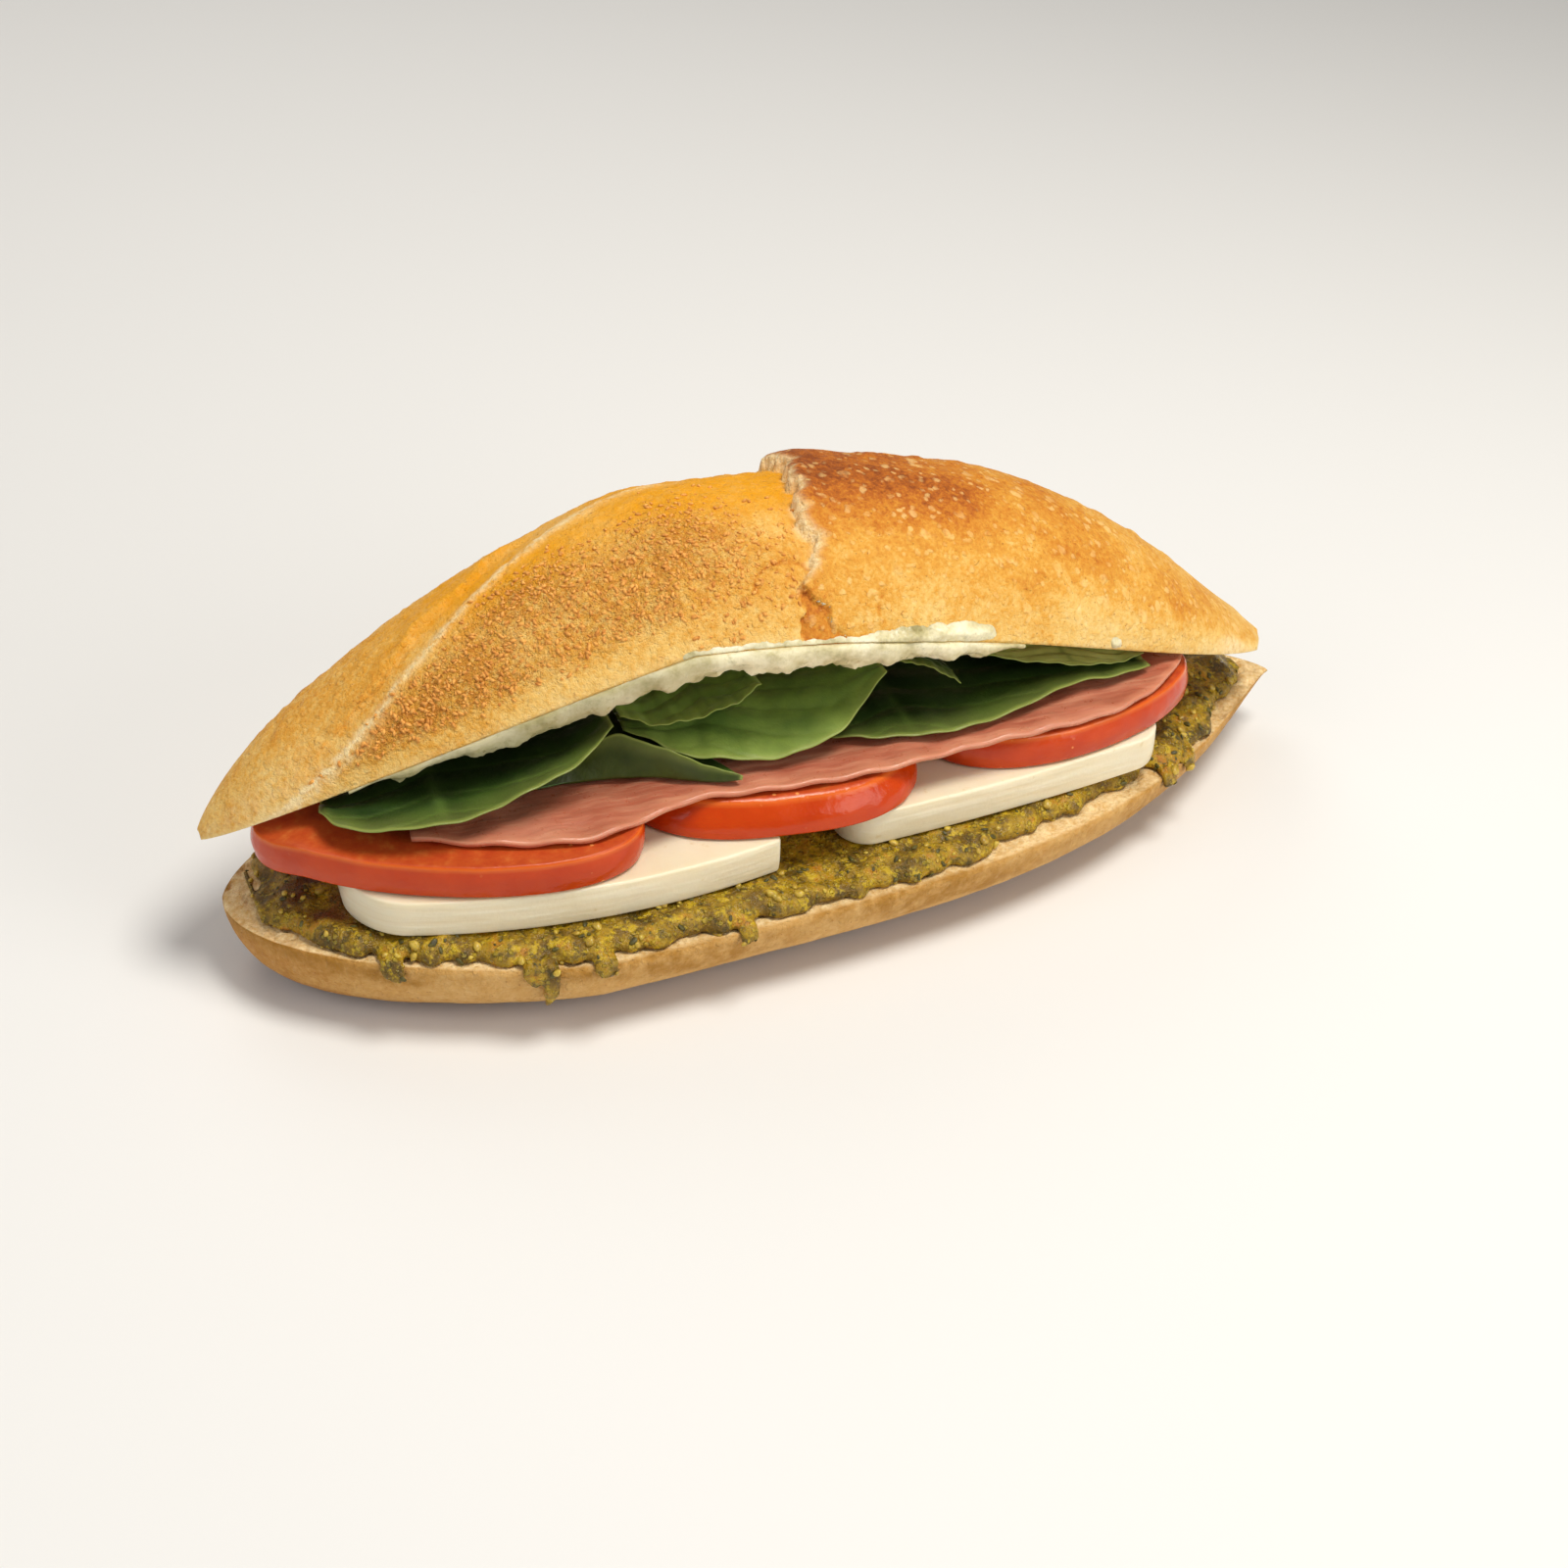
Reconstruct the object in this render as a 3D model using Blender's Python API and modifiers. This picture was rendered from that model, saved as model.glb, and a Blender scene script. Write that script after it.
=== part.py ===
"""Submarine sandwich: a split crusty roll with pesto, mozzarella, tomato, ham,
spinach leaves and a creamy spread. Lengths below are in millimetres and are
turned into metres when a mesh is made."""
import bpy
import bmesh
import math
import numpy as np

MM = 0.001
GAP = 0.3

CROWN_X0 = -131.0
CROWN_X1 = 128.0
CROWN_END = 123.7
CROWN_DEPTH_FRONT = 29.0
CROWN_DEPTH_BACK = 36.0
CROWN_DOME = 31.0
CRACK_STEP = 3.5
CROWN_DISH = 2.5

HEEL_X0 = -127.0
HEEL_X1 = 132.0
HEEL_HEIGHT = 18.0
HEEL_DEPTH_FRONT = 51.8
HEEL_DEPTH_BACK = 38.0

PESTO_THICK = 3.4
CHEESE_Z0 = 22.0
CHEESE_Z1 = 30.2
TOMATO_Z0 = 30.5
TOMATO_Z1 = 38.0
HAM_Z0 = 38.3
HAM_THICK = 1.6
LEAF_THICK = 0.6

SHIFT_X = -0.775
SHIFT_Y = 1.84


def clear_scene():
    for thing in list(bpy.data.objects):
        bpy.data.objects.remove(thing, do_unlink=True)


def lobe(x, peak, x0, x1, pl, ql, pr, qr):
    """One hump between x0 and x1 whose two sides round off at their own rate."""
    x = np.asarray(x, float)
    s = np.where(x < peak, (peak - x) / (peak - x0), (x - peak) / (x1 - peak))
    s = np.clip(s, 0.0, 1.0)
    p = np.where(x < peak, pl, pr)
    q = np.where(x < peak, ql, qr)
    return np.maximum(1.0 - s ** p, 0.0) ** q


def smooth(a, b, x):
    t = np.clip((np.asarray(x, float) - a) / (b - a), 0.0, 1.0)
    return t * t * (3.0 - 2.0 * t)


def stations(x0, x1, n):
    """Cuts along the roll, closer together towards the two tips."""
    t = np.linspace(0.0, 1.0, n)
    return x0 + (x1 - x0) * (0.5 - 0.5 * np.cos(math.pi * t))


def stack_sag(x):
    """How far the filling sinks where nothing carries it, at the two ends."""
    return -4.0 * smooth(86.0, 104.0, x) - 2.6 * smooth(-112.0, -122.0, x)


def crown_end(x):
    """Rounds off the blunt right end of the crown over its last few millimetres."""
    return np.sqrt(np.clip((CROWN_END - x) / 5.0, 0.0, 1.0))


def crown_edges(x):
    """Front and back edge of the cut face of the crown, as y and z."""
    t = (x - CROWN_X0) / (CROWN_X1 - CROWN_X0)
    line_y = 1.0 + 10.0 * t
    line_z = 30.78 - 3.76 * t
    side = lobe(x, -5.0, CROWN_X0, CROWN_X1, 2.0, 0.6, 2.2, 0.7)
    arch = lobe(x, -34.2, CROWN_X0, CROWN_X1, 1.139, 0.81, 1.921, 1.252)
    rear = lobe(x, 0.0, CROWN_X0, CROWN_X1, 2.2, 0.7, 2.2, 0.7)
    lift = lobe(x, 0.0, CROWN_X0, CROWN_X1, 4.0, 0.8, 4.0, 0.8)
    side = side * crown_end(x)
    rear = rear * crown_end(x)
    front = (line_y - CROWN_DEPTH_FRONT * side, line_z + 41.83 * arch)
    back = (line_y + CROWN_DEPTH_BACK * rear, line_z + 14.0 * lift)
    return front, back


def crown_height(x):
    dome = CROWN_DOME * lobe(x, -27.16, CROWN_X0, CROWN_X1, 1.677, 0.749, 3.785, 1.764)
    plate = np.where(x > -2.0, CRACK_STEP, 0.0)
    plate = plate * lobe(x, 0.0, CROWN_X0, CROWN_X1, 2.0, 0.5, 2.0, 0.5)
    return (dome + plate) * crown_end(x)


def crown_under(x, y):
    """Height of the cut face of the crown above the point x, y."""
    (fy, fz), (by, bz) = crown_edges(x)
    u = np.clip((y - fy) / np.maximum(by - fy, 0.1), 0.0, 1.0)
    dish = np.minimum(CROWN_DISH, 0.12 * np.maximum(by - fy, 0.0))
    dish = np.minimum(dish, 0.3 * crown_height(x))
    return fz + (bz - fz) * u + dish * np.sin(math.pi * u)


def heel_frame(x):
    """Front y, back y, top height and thickness of the heel at x."""
    t = (x - HEEL_X0) / (HEEL_X1 - HEEL_X0)
    line = 14.73 * t
    front = line - HEEL_DEPTH_FRONT * lobe(
        x, -58.3, HEEL_X0, HEEL_X1, 1.277, 0.464, 4.0, 1.229)
    back = line + HEEL_DEPTH_BACK * lobe(x, 0.0, HEEL_X0, HEEL_X1, 2.2, 0.7, 2.2, 0.7)
    full = lobe(x, 0.0, HEEL_X0, HEEL_X1, 14.0, 0.6, 2.43, 0.75)
    top = HEEL_HEIGHT - 3.5 * (1.0 - full)
    return front, back, top, HEEL_HEIGHT * full


def heel_wall(x, drop):
    """Y of the heel's front crust a given drop below its rim."""
    front, back, top, thick = heel_frame(x)
    mid = 0.5 * (front + back)
    half = 0.5 * (back - front)
    s = np.clip(drop / (1.03 * thick), 0.0, 1.0)
    return mid - half * (1.0 - s ** 2.7) ** (1.0 / 2.7)


def make_mesh(name, verts, faces, material, shade=True):
    """Builds one closed piece from points in millimetres."""
    mesh = bpy.data.meshes.new(name)
    moved = [((v[0] + SHIFT_X) * MM, (v[1] + SHIFT_Y) * MM, v[2] * MM) for v in verts]
    mesh.from_pydata(moved, [], faces)
    bm = bmesh.new()
    bm.from_mesh(mesh)
    bmesh.ops.remove_doubles(bm, verts=bm.verts, dist=0.00002)
    bmesh.ops.triangulate(bm, faces=bm.faces)
    bmesh.ops.recalc_face_normals(bm, faces=bm.faces)
    bm.to_mesh(mesh)
    bm.free()
    for poly in mesh.polygons:
        poly.use_smooth = shade
    mesh.materials.append(material)
    obj = bpy.data.objects.new(name, mesh)
    PARTS.objects.link(obj)
    return obj


def material(name, color, rough):
    mat = bpy.data.materials.new(name)
    mat.use_nodes = True
    shader = mat.node_tree.nodes["Principled BSDF"]
    shader.inputs["Base Color"].default_value = (*color, 1.0)
    shader.inputs["Roughness"].default_value = rough
    mat.diffuse_color = (*color, 1.0)
    return mat


def loft(rings):
    """Quads between rings of equal count; the two end rings close to their middle."""
    count = len(rings[0])
    verts = [tuple(p) for ring in rings for p in ring]
    faces = []
    for i in range(len(rings) - 1):
        for j in range(count):
            k = (j + 1) % count
            faces.append((i * count + j, i * count + k,
                          (i + 1) * count + k, (i + 1) * count + j))
    for end in (0, len(rings) - 1):
        middle = np.mean(rings[end], axis=0)
        verts.append(tuple(middle))
        hub = len(verts) - 1
        for j in range(count):
            faces.append((end * count + j, end * count + (j + 1) % count, hub))
    return verts, faces


def blanket(inner, outer):
    """Closed shell between two grids of the same size, with four narrow walls."""
    rows = len(inner)
    cols = len(inner[0])
    verts = [tuple(p) for row in inner for p in row]
    verts += [tuple(p) for row in outer for p in row]
    top = rows * cols
    faces = []
    for i in range(rows - 1):
        for j in range(cols - 1):
            a = i * cols + j
            b = a + cols
            faces.append((a, a + 1, b + 1, b))
            faces.append((top + a, top + b, top + b + 1, top + a + 1))
    for j in range(cols - 1):
        a = (rows - 1) * cols + j
        faces.append((j, top + j, top + j + 1, j + 1))
        faces.append((a, a + 1, top + a + 1, top + a))
    for i in range(rows - 1):
        a = i * cols
        b = a + cols
        faces.append((a, b, top + b, top + a))
        a = i * cols + cols - 1
        b = a + cols
        faces.append((a, top + a, top + b, b))
    return verts, faces


def bread_bottom(mat):
    """Heel of the roll: flat cut face, rounded crust, flat underside."""
    rings = []
    for x in stations(HEEL_X0 + 0.25, HEEL_X1 - 0.25, 30):
        front, back, top, thick = heel_frame(x)
        mid = 0.5 * (front + back)
        half = 0.5 * (back - front)
        ring = []
        for k in range(15):
            a = math.pi * k / 14.0
            c = math.cos(a)
            y = mid - half * math.copysign(abs(c) ** (2.0 / 2.7), c)
            z = top - 1.03 * thick * abs(math.sin(a)) ** (2.0 / 2.7)
            ring.append((x, y, max(z, 0.0)))
        for k in range(1, 5):
            u = k / 5.0
            ring.append((x, back + (front - back) * u, top))
        rings.append(ring)
    verts, faces = loft(rings)
    return make_mesh("bread_bottom", verts, faces, mat)


def crown_crust(x, angle):
    """Point of the crown's crust: angle 0 is the front edge, pi the back edge."""
    (fy, fz), (by, bz) = crown_edges(x)
    h = crown_height(x)
    dy = 0.5 * (fy - by)
    dz = 0.5 * (fz - bz)
    size = max(math.hypot(dy, dz), 0.001)
    ny = dz / size
    nz = -dy / size
    c = math.cos(angle)
    s = math.sin(angle)
    y = 0.5 * (fy + by) + dy * c + ny * h * s
    z = 0.5 * (fz + bz) + dz * c + nz * h * s
    return np.array([x, y, z])


def crown_relief(x, angle):
    """Height added to the crust in mm: the baker's score with its raised far lip,
    the broken step across the middle and the shallow waves of a hand-made roll."""
    score = 1.54 * (1.0 - min(1.0, max(0.0, (-25.0 - x) / 94.0)) ** 2)
    away = (angle - score) * 27.0
    run = smooth(-126.0, -112.0, x) * smooth(-22.0, -40.0, x)
    groove = -1.2 * math.exp(-(away / 2.6) ** 2) * run
    lip = 1.5 * math.exp(-((away - 7.0) / 3.4) ** 2) * smooth(-104.0, -90.0, x)
    lip = lip * smooth(-50.0, -66.0, x)
    fall = -1.2 * smooth(0.5, 8.0, away) * smooth(-118.0, -98.0, x) * smooth(-38.0, -60.0, x)
    wave = 0.5 * math.sin(0.11 * x + 2.2 * angle) + 0.35 * math.sin(0.23 * x - 3.1 * angle)
    ridge = 1.4 * math.exp(-((angle - 1.75) / 0.22) ** 2)
    ridge = ridge * smooth(-4.0, 10.0, x) * smooth(75.0, 45.0, x)
    edge = math.sin(angle) ** 0.5 if 0.0 < angle < math.pi else 0.0
    return (groove + lip + fall + wave + ridge) * edge


def bread_top(mat):
    """Crown of the roll, tipped open towards the front, with its cracked crust."""
    xs = list(stations(CROWN_X0 + 0.8, CROWN_END - 0.25, 36))
    xs = [x for x in xs if abs(x + 5.0) > 3.0]
    xs = sorted(xs + [-34.2, -8.6, -5.6, -4.6, -1.4])
    rings = []
    for x in xs:
        ring = []
        for k in range(23):
            a = math.pi * k / 22.0
            zigzag = 2.6 * math.sin(4.6 * a) + 1.1 * math.sin(11.0 * a)
            near = math.exp(-((x + 5.0) / 9.0) ** 2)
            p = crown_crust(x, a)
            q = crown_crust(x, min(max(a, 0.02), math.pi - 0.02))
            mid = 0.5 * (crown_crust(x, 0.0) + crown_crust(x, math.pi))
            out = q - mid
            out = out / max(np.linalg.norm(out), 0.001)
            small = min(1.0, float(crown_height(x)) / 12.0) ** 2
            p = p + out * crown_relief(x, a) * small
            p[0] = x + zigzag * near * math.sin(a) ** 0.3 if 0 < k < 22 else x
            ring.append(tuple(p))
        (fy, fz), (by, bz) = crown_edges(x)
        for k in range(1, 8):
            y = by + (fy - by) * k / 8.0
            ring.append((x, y, float(crown_under(x, y))))
        rings.append(ring)
    verts, faces = loft(rings)
    return make_mesh("bread_top", verts, faces, mat)


def lumps(x, y, seed):
    """Smooth unevenness from a few fixed waves, between about -1 and 1."""
    a = math.sin(0.31 * x + 1.7 * seed) * math.cos(0.27 * y - 0.9 * seed)
    b = math.sin(0.83 * x - 0.61 * y + 2.3 * seed)
    c = math.cos(0.57 * x + 1.13 * y + 3.1 * seed)
    return 0.5 * a + 0.3 * b + 0.2 * c


def pesto_inset(x):
    """Distance from the heel's front rim to the near edge of the spread."""
    bare = 2.0 + 3.0 * smooth(-108.0, -122.0, x) + 3.0 * smooth(20.0, 45.0, x)
    bare = bare - 3.4 * smooth(76.0, 86.0, x) * smooth(112.0, 98.0, x)
    return max(0.5, bare + 0.9 * math.sin(0.42 * x) + 0.5 * math.sin(0.97 * x + 1.0))


def pesto_slab():
    """The spread on the cut face, lumpy where it squeezes out in front."""
    inner = []
    outer = []
    for x in stations(-121.5, 124.5, 42):
        front, back, top, thick = heel_frame(x)
        y0 = front + pesto_inset(x)
        y1 = back - 2.5
        end = min(1.0, max(0.25, (x + 121.5) / 6.0), max(0.25, (124.5 - x) / 6.0))
        tall = PESTO_THICK * end
        low = top + GAP
        under = -105.0 < x < 80.0
        row_in = []
        row_out = []
        for k in range(9):
            u = k / 8.0
            y = y0 + (y1 - y0) * u ** 2.2
            near = min(1.0, (y - y0) / 4.2)
            rise = 0.18 + 0.82 * math.sqrt(near * (2.0 - near))
            swell = 0.8 * lumps(x, y, 1.0) * math.exp(-(y - y0) / 9.0) * near
            z = low + max(0.4, tall * rise + swell)
            if k == 8:
                z = low + 0.3 * tall
            if under and y > y0 + 3.0:
                z = min(z, CHEESE_Z0 - GAP)
            row_in.append((x, y, low))
            row_out.append((x, y, z))
        inner.append(row_in)
        outer.append(row_out)
    return blanket(inner, outer)


DRIPS = [
    (-100.2, 2.4, 2.8), (-74.6, 2.1, 2.8), (-71.4, 1.8, 9.2), (-60.6, 2.5, 1.3),
    (-29.4, 2.0, 1.4), (84.0, 3.0, 1.8), (91.5, 2.3, 1.2),
]


def pesto_drip(x0, half, drop):
    """One tongue of spread running over the rim and down the crust."""
    inner = []
    outer = []
    for i in range(7):
        t = -1.0 + 2.0 * i / 6.0
        x = x0 + half * t
        reach = math.sqrt(max(0.0, 1.0 - t * t))
        front, back, top, thick = heel_frame(x)
        low = 0.35 + drop * (0.12 + 0.88 * reach)
        swell = 0.35 + 1.25 * reach
        row_in = []
        row_out = []
        for k in range(4):
            d = low * (1.0 - k / 3.0)
            y = float(heel_wall(x, d)) - GAP - 0.03 * d
            fat = swell * (0.55 + 0.45 * math.sin(math.pi * min(1.0, 0.3 + k / 4.0)))
            rise = GAP if k == 3 else 0.0
            row_in.append((x, y, top - d + rise))
            row_out.append((x, y - fat, top - d + (GAP + fat if k == 3 else 0.0)))
        for k in (1, 2):
            row_in.append((x, front + 3.6 * k, top + GAP + 0.05))
            row_out.append((x, front + 3.6 * k, top + GAP + swell * (1.2 - 0.35 * k)))
        inner.append(row_in)
        outer.append(row_out)
    return blanket(inner, outer)


def union(base, others):
    """Joins closed pieces into one solid."""
    for other in others:
        mod = base.modifiers.new("join", "BOOLEAN")
        mod.operation = "UNION"
        mod.solver = "EXACT"
        mod.object = other
    bpy.context.view_layer.update()
    graph = bpy.context.evaluated_depsgraph_get()
    mesh = bpy.data.meshes.new_from_object(base.evaluated_get(graph))
    base.modifiers.clear()
    base.data = mesh
    for other in others:
        bpy.data.objects.remove(other, do_unlink=True)
    bm = bmesh.new()
    bm.from_mesh(mesh)
    bmesh.ops.remove_doubles(bm, verts=bm.verts, dist=0.00003)
    bmesh.ops.dissolve_degenerate(bm, dist=0.00002, edges=bm.edges)
    bmesh.ops.triangulate(bm, faces=bm.faces)
    bm.to_mesh(mesh)
    bm.free()
    return base


def pesto(mat):
    verts, faces = pesto_slab()
    slab = make_mesh("pesto", verts, faces, mat)
    tongues = []
    for n, (x0, half, drop) in enumerate(DRIPS):
        verts, faces = pesto_drip(x0, half, drop)
        tongues.append(make_mesh("drip_%d" % n, verts, faces, mat))
    return union(slab, tongues)


def slab_outline(x0, x1, y0, y1, corners, bulge, turn, steps=4):
    """Outline of a slice of cheese: four corners, each with its own radius."""
    spots = [(x0, y0, 1, 1), (x1, y0, -1, 1), (x1, y1, -1, -1), (x0, y1, 1, -1)]
    starts = [math.pi, 1.5 * math.pi, 0.0, 0.5 * math.pi]
    cx = 0.5 * (x0 + x1)
    cy = 0.5 * (y0 + y1)
    pts = []
    for (x, y, sx, sy), r, a0 in zip(spots, corners, starts):
        for k in range(steps + 1):
            a = a0 + 0.5 * math.pi * k / steps
            pts.append((x + sx * r + r * math.cos(a), y + sy * r + r * math.sin(a)))
        if y == y0 and x == x0:
            for k in range(1, 5):
                pts.append((x0 + r + (x1 - corners[1] - x0 - r) * k / 5.0, y0))
        if y == y1 and x == x1:
            for k in range(1, 4):
                pts.append((x1 - r + (x0 + corners[3] - x1 + r) * k / 4.0, y1))
    out = []
    for px, py in pts:
        s = (px - cx) / (0.5 * (x1 - x0))
        if py < cy:
            py = py - bulge * (1.0 - s * s)
        dx = px - cx
        dy = py - cy
        c = math.cos(turn)
        n = math.sin(turn)
        out.append((cx + dx * c - dy * n, cy + dx * n + dy * c))
    return out


def slice_solid(outline, z0, z1, edge, bulge, sag, lean=0.0):
    """A slice cut to an outline, its rim softened top and bottom; lean is how far
    the top rim stands back from the bottom rim, as on a slice near a tomato's end."""
    pts = np.array(outline)
    mid = pts.mean(axis=0)
    rel = pts - mid
    size = np.linalg.norm(rel, axis=1, keepdims=True)
    unit = rel / size
    levels = [(z0, -edge), (z0 + edge, bulge), (z1 - edge, bulge - lean), (z1, -edge - lean)]
    verts = []
    faces = []
    count = len(pts)
    for z, grow in levels:
        for p, u in zip(pts, unit):
            q = p + u * grow
            verts.append((q[0], q[1], z + float(sag(q[0]))))
    for i in range(len(levels) - 1):
        for j in range(count):
            k = (j + 1) % count
            faces.append((i * count + j, i * count + k,
                          (i + 1) * count + k, (i + 1) * count + j))
    for level, z in ((0, z0), (len(levels) - 1, z1)):
        rim = [level * count + j for j in range(count)]
        inner = []
        for p in pts:
            q = mid + 0.72 * (p - mid)
            verts.append((q[0], q[1], z + float(sag(q[0]))))
            inner.append(len(verts) - 1)
        verts.append((mid[0], mid[1], z + float(sag(mid[0]))))
        hub = len(verts) - 1
        for j in range(count):
            k = (j + 1) % count
            faces.append((rim[j], rim[k], inner[k], inner[j]))
            faces.append((inner[j], inner[k], hub))
    return verts, faces


def flat(x):
    return 0.0


def mozzarella_left(mat):
    outline = slab_outline(-105.0, -16.0, -31.2, 24.0, (11.0, 0.8, 0.8, 12.0), 6.5, -0.06)
    verts, faces = slice_solid(outline, CHEESE_Z0, CHEESE_Z1, 0.5, 0.2, flat)
    return make_mesh("mozzarella_left", verts, faces, mat)


def mozzarella_right(mat):
    outline = slab_outline(-4.0, 78.0, -27.0, 27.0, (6.0, 8.0, 10.0, 8.0), 1.6, 0.12)
    verts, faces = slice_solid(outline, CHEESE_Z0, CHEESE_Z1, 0.5, 0.2, flat)
    return make_mesh("mozzarella_right", verts, faces, mat)


def round_outline(cx, cy, a, b, deep, turn, power, count=36):
    """Outline of a tomato slice, between an ellipse and a soft rectangle; b is its
    depth in front of its middle and deep its depth behind it."""
    pts = []
    for k in range(count):
        t = 2.0 * math.pi * k / count
        c = math.cos(t)
        s = math.sin(t)
        u = a * math.copysign(abs(c) ** (2.0 / power), c)
        v = (b if s < 0.0 else deep) * math.copysign(abs(s) ** (2.0 / power), s)
        wob = 1.0 + 0.008 * math.sin(3.0 * t + cx)
        x = cx + (u * math.cos(turn) - v * math.sin(turn)) * wob
        y = cy + (u * math.sin(turn) + v * math.cos(turn)) * wob
        pts.append((x, y))
    return pts


def tomato_left(mat):
    outline = round_outline(-82.9, -15.44, 39.1, 18.1, 22.0, -0.36, 2.1)
    verts, faces = slice_solid(outline, TOMATO_Z0, TOMATO_Z1, 0.7, 0.5, stack_sag)
    return make_mesh("tomato_left", verts, faces, mat)


def tomato_middle(mat):
    outline = round_outline(-12.2, -4.03, 34.5, 29.9, 31.0, -0.12, 2.75)
    verts, faces = slice_solid(outline, TOMATO_Z0, TOMATO_Z1, 0.7, 0.5, stack_sag, 3.8)
    return make_mesh("tomato_middle", verts, faces, mat)


def tomato_right(mat):
    outline = round_outline(59.9, -4.2, 36.6, 20.6, 26.0, 0.25, 2.1)
    verts, faces = slice_solid(outline, TOMATO_Z0, TOMATO_Z1, 0.7, 0.5, stack_sag, 1.0)
    return make_mesh("tomato_right", verts, faces, mat)


def rail(points, n):
    """Smooth curve through a few control points, cut into n even steps."""
    pts = np.array(points, float)
    gaps = np.linalg.norm(np.diff(pts, axis=0), axis=1) ** 0.5
    knots = np.concatenate([[0.0], np.cumsum(gaps)])
    slope = np.gradient(pts, knots, axis=0)
    out = []
    for s in np.linspace(0.0, knots[-1], n):
        i = min(int(np.searchsorted(knots, s, side="right")) - 1, len(pts) - 2)
        w = knots[i + 1] - knots[i]
        t = (s - knots[i]) / w
        a = (1.0 + 2.0 * t) * (1.0 - t) ** 2
        b = t * (1.0 - t) ** 2 * w
        c = t * t * (3.0 - 2.0 * t)
        d = t * t * (t - 1.0) * w
        out.append(a * pts[i] + b * slope[i] + c * pts[i + 1] + d * slope[i + 1])
    return np.array(out)


def sheet(name, grid, thick, mat):
    """A thin wavy solid: one grid of triangles thickened upwards by Solidify."""
    rows = len(grid)
    cols = len(grid[0])
    verts = [tuple(p) for row in grid for p in row]
    faces = []
    for i in range(rows - 1):
        for j in range(cols - 1):
            a = i * cols + j
            b = a + 1
            c = a + cols + 1
            d = a + cols
            if (i + j) % 2:
                faces.extend([(a, b, c), (a, c, d)])
            else:
                faces.extend([(a, b, d), (b, c, d)])
    mesh = bpy.data.meshes.new(name)
    moved = [((v[0] + SHIFT_X) * MM, (v[1] + SHIFT_Y) * MM, v[2] * MM) for v in verts]
    mesh.from_pydata(moved, [], faces)
    mesh.materials.append(mat)
    obj = bpy.data.objects.new(name, mesh)
    PARTS.objects.link(obj)
    mod = obj.modifiers.new("thickness", "SOLIDIFY")
    mod.thickness = thick * MM
    mod.offset = 0.0
    mod.use_even_offset = False
    bpy.context.view_layer.update()
    graph = bpy.context.evaluated_depsgraph_get()
    solid = bpy.data.meshes.new_from_object(obj.evaluated_get(graph))
    obj.modifiers.clear()
    obj.data = solid
    bm = bmesh.new()
    bm.from_mesh(solid)
    bmesh.ops.remove_doubles(bm, verts=bm.verts, dist=0.00002)
    bmesh.ops.triangulate(bm, faces=bm.faces)
    bmesh.ops.recalc_face_normals(bm, faces=bm.faces)
    bm.to_mesh(solid)
    bm.free()
    for poly in solid.polygons:
        poly.use_smooth = True
    return obj


HAM_FRONT = [(-93, -23.5), (-82, -28.6), (-70, -32.4), (-58, -34), (-46, -30.5),
             (-34, -27.6), (-22, -28.4), (-8, -29.4), (4, -29.2), (13.5, -28.6), (22, -27.2),
             (34, -26.5), (50, -25.5), (66, -23), (80, -16.5), (90, -8), (93, -3)]


def ham(mat):
    """One long folded slice; it dips where two tomato slices meet."""
    front = rail([(x, y, 0.0) for x, y in HAM_FRONT], 38)
    grid = []
    for v in np.linspace(0.0, 1.0, 8):
        row = []
        for p in front:
            x = p[0] * (1.0 - 0.06 * v)
            y = p[1] + (28.0 - 0.0022 * (x + 5.0) ** 2 - p[1]) * v
            hang = (1.0 - v) ** 3
            dip = 0.9 * math.exp(-((x + 46.0) / 4.0) ** 2)
            dip = dip + 0.9 * math.exp(-((x - 23.5) / 4.0) ** 2)
            wave = 0.28 * math.sin(0.55 * x) * hang + 0.12
            z = HAM_Z0 + 0.5 * HAM_THICK + float(stack_sag(x)) + wave * 1.0 + 0.3 * hang
            z = z - dip * hang * 0.5
            row.append((x, y, z))
        grid.append(row)
    return sheet("ham", grid, HAM_THICK, mat)


def leaf(name, front, back, mat, cup, ripple, n_u=15, n_v=8, tuck=None):
    """A spinach leaf between its front rim and its hidden back rim; cup is how
    far it dips behind the rim and ripple the wave of that rim. With tuck the
    leaf first runs down from the rim to a fold before it goes back."""
    f = rail(front, n_u)
    b = rail(back, n_u)
    m = rail(tuck, n_u) if tuck else None
    grid = []
    for v in np.linspace(0.0, 1.0, n_v):
        row = []
        for i in range(n_u):
            u = i / (n_u - 1.0)
            if tuck:
                w = 0.42
                if v < w:
                    p = f[i] + (m[i] - f[i]) * (v / w)
                else:
                    p = m[i] + (b[i] - m[i]) * ((v - w) / (1.0 - w))
            else:
                p = f[i] + (b[i] - f[i]) * v
            p = np.array(p)
            p[2] += -cup * math.sin(math.pi * min(1.0, 1.6 * v)) * math.sin(math.pi * u)
            p[2] += ripple * math.sin(7.0 * u * math.pi) * (1.0 - v) ** 2
            row.append(tuple(p))
        grid.append(row)
    return sheet(name, grid, LEAF_THICK, mat)


def leaf_left(mat):
    front = [(-108.7, -12.5, 41.8), (-106.5, -20.5, 43.4), (-98.0, -26.0, 44.4),
             (-86.0, -28.6, 45.4), (-75.0, -27.9, 47.2), (-65.6, -26.2, 49.6),
             (-57.5, -24.0, 51.8), (-49.7, -18.5, 54.6)]
    back = [(-104.0, 2.0, 41.5), (-96.0, 12.0, 42.6), (-84.0, 17.0, 44.4),
            (-70.0, 18.0, 46.6), (-58.0, 16.0, 48.6), (-47.0, 12.0, 50.2)]
    return leaf("leaf_left", front, back, mat, 1.6, 0.25, 18, 7)


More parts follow.
